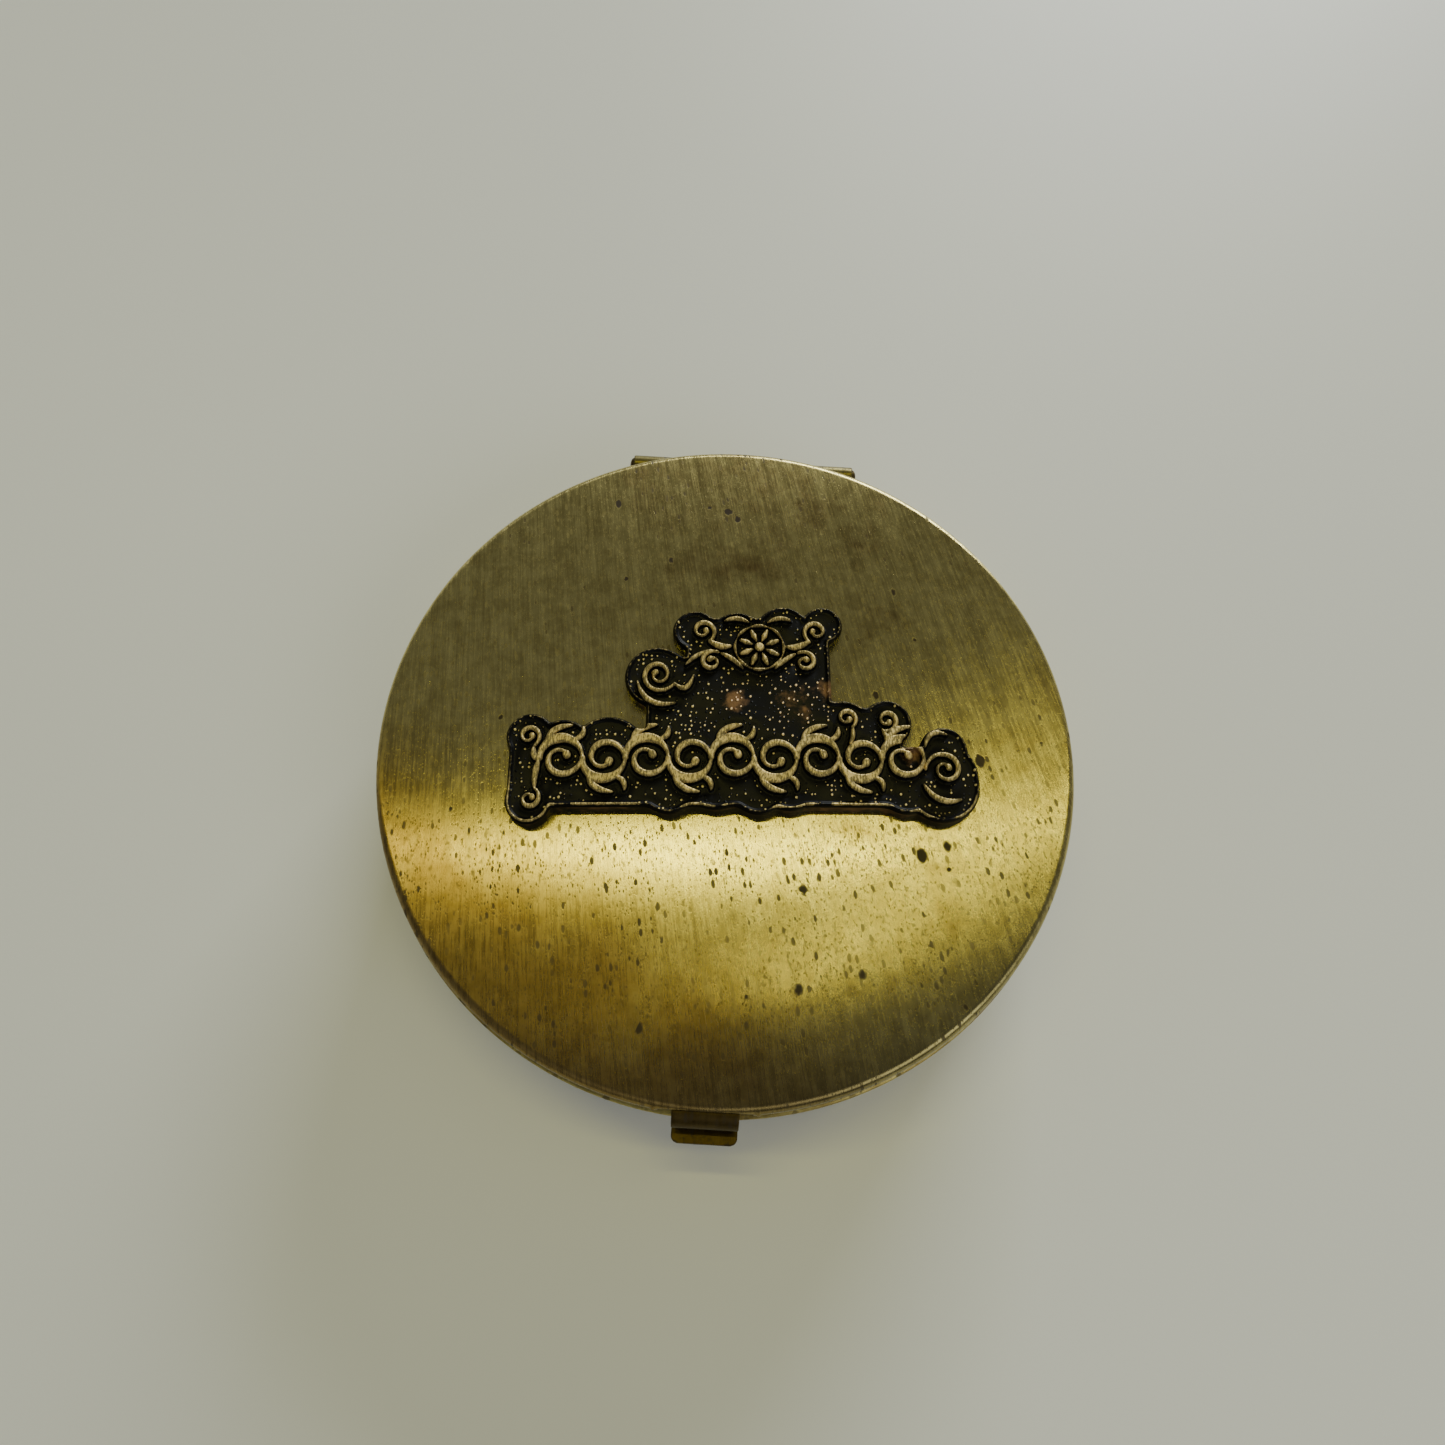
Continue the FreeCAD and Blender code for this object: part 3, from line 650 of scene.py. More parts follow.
def lid_profiles(sizes, angles):
    """Profile of the lid for each column: dome, rounded edge, skirt down to its lower edge, and back inside.
    Where the skirt is cut out, its points rise to the cut's edge and stay on the outer or inner face."""
    rim_z = DOME_TOP_Z - sizes.crown
    edge_r = CASE_RADIUS - sizes.lid_round
    ball = (edge_r**2 + sizes.crown**2) / (2 * sizes.crown)
    ball_z = DOME_TOP_Z - ball
    shoulder = (edge_r, rim_z - sizes.lid_round)
    inside = CASE_RADIUS - sizes.sheet
    burr = 0.07 * MM
    r_out = np.linspace(0, edge_r, 46)[:-1]
    r_in = np.linspace(edge_r, 0, 24)[1:]
    dome = np.stack([r_out, ball_z + np.sqrt(ball**2 - r_out**2)], 1)
    under = np.stack([r_in, ball_z + np.sqrt((ball - sizes.sheet)**2 - r_in**2)], 1)
    edge = arc_points(shoulder, sizes.lid_round, 90, 0, 12)
    outer = [dome, edge,
             straight((CASE_RADIUS, shoulder[1]), (CASE_RADIUS, SKIRT_Z + burr), 7)[1:],
             np.array([[CASE_RADIUS, SKIRT_Z + burr], [CASE_RADIUS - burr, SKIRT_Z]])]
    inner = [np.array([[inside + burr, SKIRT_Z], [inside, SKIRT_Z + burr]]),
             straight((inside, SKIRT_Z + 2 * burr), (inside, shoulder[1]), 4),
             arc_points(shoulder, sizes.lid_round - sizes.sheet, 0, 90, 6), under]
    outer, inner = np.concatenate(outer), np.concatenate(inner)
    profile = np.concatenate([outer, inner])
    side = np.concatenate([np.zeros(len(outer)), np.ones(len(inner))])
    low = np.full(len(angles), SKIRT_Z)
    notch = sizes.notch_rise + HINGE_Z
    low[in_cut(angles, BARREL_HALF + sizes.notch_end, CASE_RADIUS, True)] = notch
    low[in_cut(angles, MIDDLE_CUT, CASE_RADIUS, True)] = notch + CUT_STEP
    window = in_cut(angles, sizes.window / 2, CASE_RADIUS, False)
    low[window] = rim_z - sizes.sheet
    z = np.maximum(profile[:, 1:2], low[None, :])
    fall = np.clip(z - shoulder[1], 0, None)
    round_out = np.sqrt(np.clip(sizes.lid_round**2 - fall**2, 0, None))
    round_in = np.sqrt(np.clip((sizes.lid_round - sizes.sheet)**2 - fall**2, 0, None))
    face = np.where(side[:, None] > 0.5, shoulder[0] + round_in, shoulder[0] + round_out)
    raised = profile[:, 1:2] < low[None, :]
    r = np.where(raised, face, profile[:, 0:1])
    flat = (CASE_RADIUS - sizes.window_flat) / np.cos(np.clip(angles, -1.2, 1.2))
    r = np.where(window[None, :], np.minimum(r, flat[None, :]), r)
    for spot in cut_edges(sizes.window / 2 + BURR_BESIDE, CASE_RADIUS, False):
        along = np.exp(-((angles - spot) * CASE_RADIUS / BURR_WIDTH)**2)
        tall = np.exp(-((z - (rim_z - BURR_BELOW)) / BURR_HEIGHT)**2)
        r = r + np.where(side[:, None] < 0.5, BURR_PROUD * along[None, :] * tall, 0.0)
    rows = np.arange(len(profile) - 1)
    flat_rows = (rows < len(dome) + len(edge) - 1) | (rows >= len(profile) - len(under) - 2)
    return np.stack([r, z], -1), flat_rows


def make_lid(sizes, colours):
    """Domed lid with its turned-down skirt, catch window, hinge cut-out and two burrs beside the window."""
    edges = cut_edges(sizes.window / 2, CASE_RADIUS, False)
    edges += cut_edges(BARREL_HALF + sizes.notch_end, CASE_RADIUS, True)
    edges += cut_edges(MIDDLE_CUT, CASE_RADIUS, True)
    burrs = cut_edges(sizes.window / 2 + BURR_BESIDE, CASE_RADIUS, False)
    angles = columns_with_edges(360, edges, burrs)
    profiles, flat_rows = lid_profiles(sizes, angles)
    spots = [((x * MM, y * MM, PIT_LEVEL), radius * MM) for x, y, radius in LID_PITS]
    # The brown towards the lid's lower left and the grey-olive towards its lower right are painted shade,
    # dark reflections laid into the colour.
    material = brass_material("lid_brass", colours, tarnish=0.30, specks=1.0, roughness=0.23, grain=0.97,
                              painted_brown_shade_towards=((-0.50, -0.87, 0.0), 9 * MM, 21 * MM),
                              painted_shade_towards=((0.55, -0.83, 0.0), 16 * MM, 32 * MM), spots=spots)
    return shell_piece("lid_shell_skin", profiles, angles, flat_rows, "lid", "lid_shell",
                       material)


PIT_LEVEL = DOME_TOP_Z - 0.5 * MM     # height of the pits' centres, halfway down the dome
# Larger pits on the lid: place across and back from its centre, and radius, in millimetres.
LID_PITS = [
    (6.2, -11.2, 0.42), (-1.0, 20.6, 0.36), (-0.2, 19.9, 0.30), (-2.6, 20.9, 0.2), (24.4, 1.4, 0.34),
    (9.1, -24.4, 0.24), (-17.6, 0.9, 0.24), (-3.4, -9.4, 0.18), (16.9, -9.0, 0.16), (-9.0, 13.6, 0.26),
    (14.5, 9.6, 0.22), (-20.4, -6.6, 0.2), (2.4, -19.0, 0.16), (19.5, 12.0, 0.2), (-13.0, 10.0, 0.18),
]


def pan_profiles(sizes, angles):
    """Profile of the base pan for each column: floor, rounded edge, wall, mouth bead, and back inside.
    Where the wall is cut out for the hinge, its points drop to the cut's edge and lose the bead."""
    low = (CASE_RADIUS - sizes.base_round, sizes.base_round)
    inside = CASE_RADIUS - sizes.sheet
    bead_z = SEAM_Z - sizes.bead
    r_out = np.linspace(0, low[0], 16)[:-1]
    r_in = np.linspace(low[0], 0, 16)[1:]
    outer = [np.stack([r_out, np.zeros_like(r_out)], 1), arc_points(low, sizes.base_round, -90, 0, 12),
             straight((CASE_RADIUS, low[1]), (CASE_RADIUS, SEAM_Z - 2 * sizes.bead), 10)[1:],
             arc_points((CASE_RADIUS, bead_z), sizes.bead, -90, 80, 9)]
    burr = 0.06 * MM
    inner = [np.array([[inside + burr, SEAM_Z], [inside, SEAM_Z - burr]]),
             straight((inside, SEAM_Z - 2 * burr), (inside, low[1]), 5),
             arc_points(low, sizes.base_round - sizes.sheet, 0, -90, 8),
             np.stack([r_in, np.full_like(r_in, sizes.sheet)], 1)]
    outer, inner = np.concatenate(outer), np.concatenate(inner)
    profile = np.concatenate([outer, inner])
    high = np.full(len(angles), SEAM_Z + burr)
    notch = HINGE_Z - sizes.notch_rise
    high[in_cut(angles, BARREL_HALF + sizes.notch_end, CASE_RADIUS, True)] = notch - CUT_STEP
    high[in_cut(angles, BASE_KNUCKLE_HIGH.x, CASE_RADIUS, True)] = notch
    z = np.minimum(profile[:, 1:2], high[None, :])
    lowered = profile[:, 1:2] > high[None, :]
    r = np.where(lowered, np.minimum(profile[:, 0:1], CASE_RADIUS), profile[:, 0:1])
    rows = np.arange(len(profile) - 1)
    flat_rows = (rows < len(r_out) + 3) | (rows >= len(profile) - len(r_in) - 3)
    return np.stack([r, z], -1), flat_rows


def make_pan(sizes, colours):
    """Drawn base pan with its mouth bead and hinge cut-out."""
    edges = cut_edges(BARREL_HALF + sizes.notch_end, CASE_RADIUS, True)
    edges += cut_edges(BASE_KNUCKLE_HIGH.x, CASE_RADIUS, True)
    angles = columns_with_edges(360, edges)
    profiles, flat_rows = pan_profiles(sizes, angles)
    material = brass_material("satin_brass", colours, tint=0.92, tarnish=0.46, specks=0.9, roughness=0.36,
                              grain=0.7, fineness=0.8)
    return shell_piece("base_pan_skin", profiles, angles, flat_rows, "base", "base_pan",
                       material)


def make_collar(sizes, colours):
    """Inner ring of the base: a soldered lower band, a step, and the risen edge, lowered across the hinge."""
    inner = COLLAR_HIGH.x - sizes.collar_sheet
    seat, risen = COLLAR_HIGH.x, COLLAR_HIGH.x - sizes.collar_seat_step
    soft = 0.1 * MM
    profile = np.concatenate([
        straight((inner, COLLAR_LOW.z), (seat, COLLAR_LOW.z), 2),
        straight((seat, COLLAR_LOW.z), (seat, SEAM_Z), 8),
        straight((risen, SEAM_Z), (risen, COLLAR_HIGH.z - soft), 4),
        arc_points((risen - soft, COLLAR_HIGH.z - soft), soft, 0, 90, 5),
        arc_points((inner + soft, COLLAR_HIGH.z - soft), soft, 90, 180, 5),
        straight((inner, COLLAR_HIGH.z - 2 * soft), (inner, COLLAR_LOW.z), 12),
        np.array([[inner, COLLAR_LOW.z]])])
    half = BARREL_HALF + 3 * sizes.notch_end
    angles = columns_with_edges(300, cut_edges(half, COLLAR_HIGH.x, True))
    high = np.full(len(angles), COLLAR_HIGH.z)
    high[in_cut(angles, half, COLLAR_HIGH.x, True)] = HINGE_Z - KNUCKLE_RADIUS - 0.3 * MM
    z = np.minimum(profile[:, 1:2], high[None, :])
    r = np.broadcast_to(profile[:, 0:1], z.shape)
    material = brass_material("collar_brass", colours, tint=1.05, tarnish=0.25, specks=0.4, roughness=0.26,
                              grain=0.6, fineness=0.9)
    rows = np.zeros(len(profile) - 1, bool)
    return shell_piece("base_collar_skin", np.stack([r, z], -1), angles, rows, "base", "base_collar",
                       material)


# ---------------------------------------------------------------- hinge

def lathe_piece(name, profile, body, node, material, y=None, z=None, wrap=True):
    """A piece turned about a line along X, with its grain round the line."""
    y = HINGE_Y if y is None else y
    z = HINGE_Z if z is None else z
    columns = 72
    points = lathe_x(profile, columns, y, z)
    faces = grid_faces(len(profile), columns, wrap, True)
    turn = np.linspace(0, math.tau, columns + 1)
    rows = len(profile)
    i = np.arange(rows if wrap else rows - 1)
    i, j = (a.ravel() for a in np.meshgrid(i, np.arange(columns), indexing="ij"))
    ci, cj = np.stack([i, i, i + 1, i + 1], 1) % rows, np.stack([j, j + 1, j + 1, j], 1)
    grain = np.stack([turn[cj] * KNUCKLE_RADIUS, profile[ci, 0] + profile[ci, 1]], -1)
    piece = make_piece(name, points.reshape(-1, 3), faces, body, node, material, grain)
    return sharpen(piece, 40)


def tube_profile(low_x, high_x, radius, bore):
    """Closed profile of one knuckle: outer face with softened, slightly dished ends, and the bore."""
    soft = 0.12 * MM
    ends = [arc_points((low_x + soft, radius - soft), soft, 180, 90, 5),
            straight((low_x + 2 * soft, radius), (high_x - 2 * soft, radius), 14),
            arc_points((high_x - soft, radius - soft), soft, 90, 0, 5),
            np.array([[high_x, bore + soft / 2], [high_x - soft / 2, bore]]),
            straight((high_x - soft, bore), (low_x + soft, bore), 4),
            np.array([[low_x + soft / 2, bore], [low_x, bore + soft / 2]])]
    profile = np.concatenate(ends)
    wave = 0.006 * MM * np.sin(profile[:, 0] / (0.9 * MM)) * (profile[:, 1] > radius * 0.99)
    profile[:, 1] -= np.abs(wave)
    return profile


def make_knuckles(sizes, colours):
    """The three tubes of the barrel."""
    # The low tint darkens the knuckles' brass: painted shade for the barrel that lies in shadow at the back
    # of the lid.
    material = brass_material("hinge_brass", colours, tint=0.32, tarnish=0.30, specks=1.0, roughness=0.40,
                              grain=0.4)
    bore = sizes.pin_radius + 0.03 * MM
    for name, body, low, high in (
            ("base_knuckle", "base", BASE_KNUCKLE_LOW, BASE_KNUCKLE_HIGH),
            ("lid_knuckle_left", "lid", LEFT_KNUCKLE_LOW, LEFT_KNUCKLE_HIGH),
            ("lid_knuckle_right", "lid", RIGHT_KNUCKLE_LOW, RIGHT_KNUCKLE_HIGH)):
        profile = tube_profile(low.x, high.x, KNUCKLE_RADIUS, bore)
        lathe_piece(name + "_tube", profile, body, name, material)


def make_pin(sizes, colours):
    """Hinge pin with low peened heads."""
    material = brass_material("pin_brass", colours, tint=0.36, tarnish=0.8, specks=1.0, roughness=0.42,
                              grain=0.2)
    head = 0.62 * MM
    neck = BARREL_HALF + 0.05 * MM
    turn = np.linspace(0, 1, 9)
    dome_x = PIN_HIGH.x - (PIN_HIGH.x - neck) * (1 - np.sqrt(1 - turn**2 * 0.92)) * 1.25
    right = np.stack([dome_x, head * turn], 1)
    right = np.concatenate([right, [[neck, head], [neck, sizes.pin_radius]]])
    left = right[::-1] * [-1, 1]
    shaft = straight((neck * 0.98, sizes.pin_radius), (-neck * 0.98, sizes.pin_radius), 20)
    profile = np.concatenate([right, shaft, left])
    return lathe_piece("hinge_pin_peened", profile, "base", "hinge_pin", material, wrap=False)


def solder_fillet(name, low_x, high_x, body, up, material):
    """Solder along a knuckle: at each x a small concave bridge from the barrel to the wall's cut edge, above
    the pin where up is 1 and below it where up is -1. Its section is a closed loop of barrel point, sagging
    middle points, wall point and points inside the metal."""
    x = np.linspace(low_x, high_x, 40)
    rise = 0.9 * MM
    wall_y = np.sqrt(CASE_RADIUS**2 - x**2) - HINGE_Y
    wall = np.stack([wall_y - 0.02 * MM, np.full_like(x, rise)], 1)
    angle = np.arctan2(wall[:, 1], wall[:, 0])
    rough = 0.10 * np.sin(x / MM * 2.3) + 0.07 * np.sin(x / MM * 5.1 + 1.0)
    near = angle - 0.62 + rough
    barrel = KNUCKLE_RADIUS * 0.995
    a = np.stack([np.cos(near), np.sin(near)], 1) * barrel
    b = wall
    nook = np.stack([np.cos(angle - 0.12), np.sin(angle - 0.12)], 1) * barrel * 1.03
    t = np.linspace(0, 1, 7)[:, None, None]
    curve = a * (1 - t)**2 + 2 * nook * t * (1 - t) + b * t**2
    hidden = np.stack([b + [-0.25 * MM, 0.05 * MM],
                       np.stack([np.cos(angle + 0.1), np.sin(angle + 0.1)], 1) * barrel * 0.9,
                       np.stack([np.cos(near), np.sin(near)], 1) * barrel * 0.9])
    loop = np.concatenate([curve, hidden])
    ends = loop.mean(0, keepdims=True)
    closed = [np.repeat(ends[:, :1], len(loop), 0), loop, np.repeat(ends[:, -1:], len(loop), 0)]
    loop = np.concatenate(closed, 1)
    x = np.concatenate([x[:1], x, x[-1:]])
    across = np.broadcast_to(x, loop.shape[:2])
    points = np.stack([across, HINGE_Y + loop[..., 0], HINGE_Z + up * loop[..., 1]], -1)
    faces = grid_faces(loop.shape[0], loop.shape[1], True, False)
    grain = points.reshape(-1, 3)[faces][..., :2]
    piece = make_piece(name, points.reshape(-1, 3), faces, body, None, material, grain)
    return sharpen(piece, 60)


def make_solder(colours):
    """The solder that holds the knuckles to the lid and the base."""
    material = brass_material("solder", colours, tint=0.5, tarnish=0.7, specks=1.0, roughness=0.4, grain=0.0)
    inner, outer = 0.25 * MM, 1.0 * MM
    for name, low_x, high_x, body, up in (
            ("base_knuckle_solder", BASE_KNUCKLE_LOW.x + inner, BASE_KNUCKLE_HIGH.x - inner, "base", -1),
            ("lid_knuckle_solder_left", LEFT_KNUCKLE_LOW.x + outer, LEFT_KNUCKLE_HIGH.x - inner, "lid", 1),
            ("lid_knuckle_solder_right", RIGHT_KNUCKLE_LOW.x + inner, RIGHT_KNUCKLE_HIGH.x - outer,
             "lid", 1)):
        solder_fillet(name, low_x, high_x, body, up, material)


# ---------------------------------------------------------------- catch

CATCH_FLAT_BELOW = 1.62 * MM    # the flat's centre line, below the top of the lid's dome
CATCH_FLAT_END = 26.3 * MM      # where the flat passes the skirt
SHOULDER_INSET = 0.2 * MM       # the shoulder's centre, inside the case radius
SHOULDER_RADIUS = 0.9 * MM
SHOULDER_TURN = 104             # degrees, from level to past straight down
LEG_LENGTH = 1.05 * MM
LIP_RADIUS = 0.45 * MM
LIP_TURN = 112                  # degrees, from down and inward to just above level
LIP_LENGTH = 0.97 * MM


def step_along(length_of_step, degrees):
    """A step of a length in a direction, in degrees above level."""
    return length_of_step * np.array([math.cos(math.radians(degrees)), math.sin(math.radians(degrees))])


def catch_path(sheet):
    """Centre line of the catch, (distance in front of the axis, height): root, flat, shoulder, leg, lip."""
    flat_z = LID_HIGH.z - CATCH_FLAT_BELOW
    root = (-CATCH_HIGH.y, CATCH_HIGH.z - sheet / 2)
    shoulder = (CASE_RADIUS - SHOULDER_INSET, flat_z - SHOULDER_RADIUS)
    bend = arc_points(shoulder, SHOULDER_RADIUS, 90, 90 - SHOULDER_TURN, 16)
    foot = bend[-1] + step_along(LEG_LENGTH, -SHOULDER_TURN)
    lip_centre = foot + step_along(LIP_RADIUS, 90 - SHOULDER_TURN)
    lip = arc_points(lip_centre, LIP_RADIUS, 270 - SHOULDER_TURN, 270 - SHOULDER_TURN + LIP_TURN, 14)
    tip = lip[-1] + step_along(LIP_LENGTH, LIP_TURN - SHOULDER_TURN)
    flat_end = (CATCH_FLAT_END, flat_z)
    parts = [straight(root, flat_end, 10), straight(flat_end, bend[0], 3), bend,
             straight(bend[-1], foot, 7)[1:], lip, straight(lip[-1], tip, 12)[1:], tip[None, :]]
    return np.concatenate(parts)


def make_catch(sizes, colours):
    """Spring strip: a rounded rectangle section carried along the catch's centre line, with rounded corners
    at its tip."""
    path = catch_path(sizes.catch_sheet)
    heading = np.gradient(path, axis=0)
    heading /= np.linalg.norm(heading, axis=1)[:, None]
    normal = np.stack([-heading[:, 1], heading[:, 0]], 1)
    reach = np.concatenate([[0], np.cumsum(np.linalg.norm(np.diff(path, axis=0), axis=1))])
    half = (CATCH_HIGH.x - CATCH_LOW.x) / 2
    corner = 0.5 * MM
    left = np.clip(corner - (reach[-1] - reach), 0, corner)
    half = half - corner + np.sqrt(corner**2 - left**2 * 0.98)
    soft = 0.09 * MM
    thick = sizes.catch_sheet / 2
    across = np.linspace(-1, 1, 19)
    turn = np.radians(np.linspace(90, -90, 7))
    edge_x = soft * np.cos(turn)
    edge_t = (thick - soft) * np.sign(np.round(np.sin(turn), 6)) + soft * np.sin(turn)
    flat = half[:, None] - soft
    top = flat * across[None, :]
    right = flat + edge_x[None, :]
    x = np.concatenate([top, right, top[:, ::-1], -right], 1)
    face = np.full(len(across), thick)
    t = np.concatenate([face, edge_t, -face, edge_t[::-1]])
    t = np.broadcast_to(t, x.shape)
    rows = np.arange(len(path))
    rows = np.concatenate([rows[:1], rows, rows[-1:]])
    shrink = np.ones(len(rows))
    shrink[[0, -1]] = 0.0
    x, t = x[rows], t[rows] * shrink[:, None]
    x[[0, -1]] *= 0.9
    y = -(path[rows, 0:1] + normal[rows, 0:1] * t)
    z = path[rows, 1:2] + normal[rows, 1:2] * t
    points = np.stack([x, np.broadcast_to(y, x.shape), np.broadcast_to(z, x.shape)], -1)
    faces = grid_faces(*x.shape, False, True)
    grain = np.stack([np.broadcast_to(reach[rows][:, None], x.shape), x], -1).reshape(-1, 2)[faces]
    material = brass_material("spring_brass", colours, tint=0.30, tarnish=0.80, specks=0.9, roughness=0.46,
                              grain=0.6, fineness=0.8)
    piece = make_piece("catch_strip_bent", points.reshape(-1, 3), faces, "lid", "catch_strip",
                       material, grain)
    return sharpen(piece, 40)


# ---------------------------------------------------------------- plaque

# Lobes of the plaque's outline in its own frame, in millimetres: x, y, radius.
LOBES = np.array([
    (-14.75, -5.25, 1.7), (-14.9, -0.1, 1.8), (-12.4, -0.9, 2.1), (-9.0, -1.5, 2.9), (-4.4, -4.2, 2.05),
    (-0.9, -3.9, 2.0), (2.3, -4.2, 2.1), (4.6, -4.1, 1.9), (9.1, 1.0, 1.7), (12.2, 1.0, 1.85),
    (13.3, -4.3, 1.9), (16.4, -1.1, 1.8), (16.9, -2.8, 1.9), (16.0, -3.9, 2.9), (-5.4, 4.7, 2.5),
    (-2.5, 8.65, 1.75), (0.8, 8.3, 2.0), (4.4, 8.7, 2.1), (7.5, 9.2, 1.6),
])
# Bars that join the lobes: low x, low y, high x, high y.
BARS = np.array([
    (-16.4, -5.4, -12.8, 0.1), (-14.0, -5.7, 13.2, 0.4), (-6.2, -1.5, 9.0, 2.7), (-5.2, 1.2, 0.0, 6.4),
    (-3.2, 1.2, 8.0, 9.8), (8.0, -1.5, 12.5, 2.2), (11.8, -5.6, 16.2, -0.9),
])
# Volutes: centre x, y, outer radius, starting angle, turn (both in degrees), end radius.
VOLUTES = [
    (-5.3, 4.75, 1.45, 330, -560, 0.30), (16.3, -2.75, 1.5, 180, -520, 0.30),
    (12.1, 1.15, 0.95, 250, 430, 0.25),
    (-14.95, -0.2, 0.95, 300, 430, 0.25), (-14.65, -5.1, 0.85, 60, -400, 0.25),
    (-1.9, 8.5, 1.05, 300, 430, 0.25), (6.95, 8.5, 1.05, 240, -430, 0.25),
    (-1.2, 5.9, 0.95, 60, 430, 0.25), (6.0, 5.9, 0.95, 120, -430, 0.25),
    (9.0, 1.2, 0.85, 300, 400, 0.25),
]
# Leaves and stems: start x, y, middle x, y, end x, y, and the widest half-width.
LEAVES = [
    (-4.1, 4.1, -3.1, 2.9, -2.6, 4.7, 0.24), (-1.4, 7.7, -0.6, 7.0, 0.3, 7.2, 0.30),
    (6.4, 7.7, 5.6, 7.0, 4.6, 7.2, 0.30), (-0.5, 6.6, 0.4, 6.2, 1.2, 5.3, 0.24),
    (5.3, 6.6, 4.5, 6.2, 3.7, 5.3, 0.24), (-6.9, 4.2, -6.3, 1.9, -4.0, 2.4, 0.26),
    (-3.2, 5.6, -2.4, 6.6, -1.2, 6.9, 0.22), (11.7, 0.4, 12.2, -0.4, 11.9, -1.0, 0.24),
    (-14.5, -1.1, -14.6, -2.0, -14.05, -2.1, 0.28), (-14.3, -4.3, -14.4, -3.0, -14.05, -2.1, 0.28),
    (9.4, 0.6, 9.6, -0.2, 9.2, -0.8, 0.22), (14.9, -1.0, 15.2, 0.6, 16.6, 0.0, 0.24),
    (14.6, -4.0, 15.4, -5.7, 17.3, -5.1, 0.28), (-0.2, 9.4, 0.8, 9.9, 1.7, 9.3, 0.22),
    (5.0, 9.4, 4.1, 9.9, 3.2, 9.3, 0.22),
]
# The running vine: first centre x, centre line y, radius of each half round, and how many there are.
VINE = (-12.45, -2.0, 1.6, 9)
# The rosette: x, y, ring radius, petals.
ROSETTE = (2.5, 7.1, 1.9, 8)
# Rubbed areas of the ground, and a zone of painted glints on the pearls (the one at 9.5, -4.9): x, y, spread
# and strength.
WORN_AND_GLINTS = [
    (0.6, 2.9, 0.9, 1.0), (4.8, 3.0, 1.9, 0.55), (14.0, -1.5, 1.0, 1.0), (-6.7, 1.3, 0.7, 0.8),
    (8.1, 3.9, 0.8, 0.8), (6.2, 1.2, 2.4, 0.40), (-0.9, 1.0, 1.2, 0.45), (9.5, -4.9, 3.0, 0.35),
    (-9.5, -5.0, 2.0, 0.22),
]
# The grid that the surface is cut from: low x, high x, low y, high y.
PLAQUE_GRID = (-17.6, 19.6, -7.6, 11.6)
# Rows of the side wall, from the top down: share of the edge's height, relief and added wear.
WALL_ROWS = [(0.93, 0.35, 0.75), (0.62, 0.10, 0.65), (0.30, 0.05, 0.60), (0.0, 0.0, 0.45)]
WALL_SUNK = 0.05
STUD_REACH = 9.0            # each stud's distance from the vine's middle
STUD_RADIUS = 0.6 * MM


def outline_distance(x, y):
    """Distance outside the lobed outline, negative inside: the lowest distance to any lobe or bar, softly
    blended."""
    lobes = np.hypot(x[..., None] - LOBES[:, 0], y[..., None] - LOBES[:, 1]) - LOBES[:, 2]
    dx = np.abs(x[..., None] - (BARS[:, 0] + BARS[:, 2]) / 2) - (BARS[:, 2] - BARS[:, 0]) / 2
    dy = np.abs(y[..., None] - (BARS[:, 1] + BARS[:, 3]) / 2) - (BARS[:, 3] - BARS[:, 1]) / 2
    boxes = np.hypot(np.maximum(dx, 0), np.maximum(dy, 0)) + np.minimum(np.maximum(dx, dy), 0)
    all_of = np.concatenate([lobes, boxes], -1)
    low = all_of.min(-1)
    soft = 0.12
    return low - soft * np.log(np.exp(-(all_of - low[..., None]) / soft).sum(-1)) * np.clip(1 + low / 3, 0, 1)


def volute(cx, cy, radius, start, turn, end, count=46):
    """A spiral whose radius shrinks evenly from its outer to its end radius, with a bud at its eye."""
    t = np.linspace(0, 1, count)
    angle = np.radians(start + turn * t)
    r = radius + (end - radius) * t**0.8
    points = np.stack([cx + r * np.cos(angle), cy + r * np.sin(angle)], 1)
    width = 0.15 + 0.09 * np.sin(math.pi * np.clip(t * 1.6, 0, 1))
    width[-3:] = 0.27
    return points, width


def leaf(ax, ay, bx, by, cx, cy, width, count=18):
    """A curved leaf: a quadratic curve from a to c drawn towards b, widest in its middle and pointed at its
    ends."""
    t = np.linspace(0, 1, count)[:, None]
    a, b, c = np.array((ax, ay)), np.array((bx, by)), np.array((cx, cy))
    points = a * (1 - t)**2 + 2 * b * t * (1 - t) + c * t**2
    return points, width * np.sqrt(np.sin(math.pi * (0.06 + 0.88 * t[:, 0])))


def vine_strokes():
    """The running vine of half rounds with a volute in each, and two pointed leaves outside each."""
    first, y, radius, count = VINE
    strokes = []
    turn = np.linspace(0, math.pi, 26)
    for i in range(count):
        x = first + 2 * radius * i
        side = 1.0 if i % 2 == 0 else -1.0
        arc = np.stack([x - radius * np.cos(turn), y + side * radius * np.sin(turn)], 1)
        strokes.append((arc, 0.22 + 0.20 * np.sin(turn)**2 + 0.05 * np.cos(turn)))
        curl, width = volute(0.0, 0.0, radius, 0, -330, 0.50)
        strokes.append((curl * [1.0, side] + [x, y], np.clip(width * 1.25, 0.18, 0.40)))
        strokes.append(leaf(x - 1.15, y + side * 1.3, x - 0.9, y + side * 2.5, x + 0.7, y + side * 2.6, 0.30))
        strokes.append(leaf(x + 0.9, y + side * 1.5, x + 1.7, y + side * 1.6, x + 1.6, y + side * 2.45, 0.26))
    return strokes


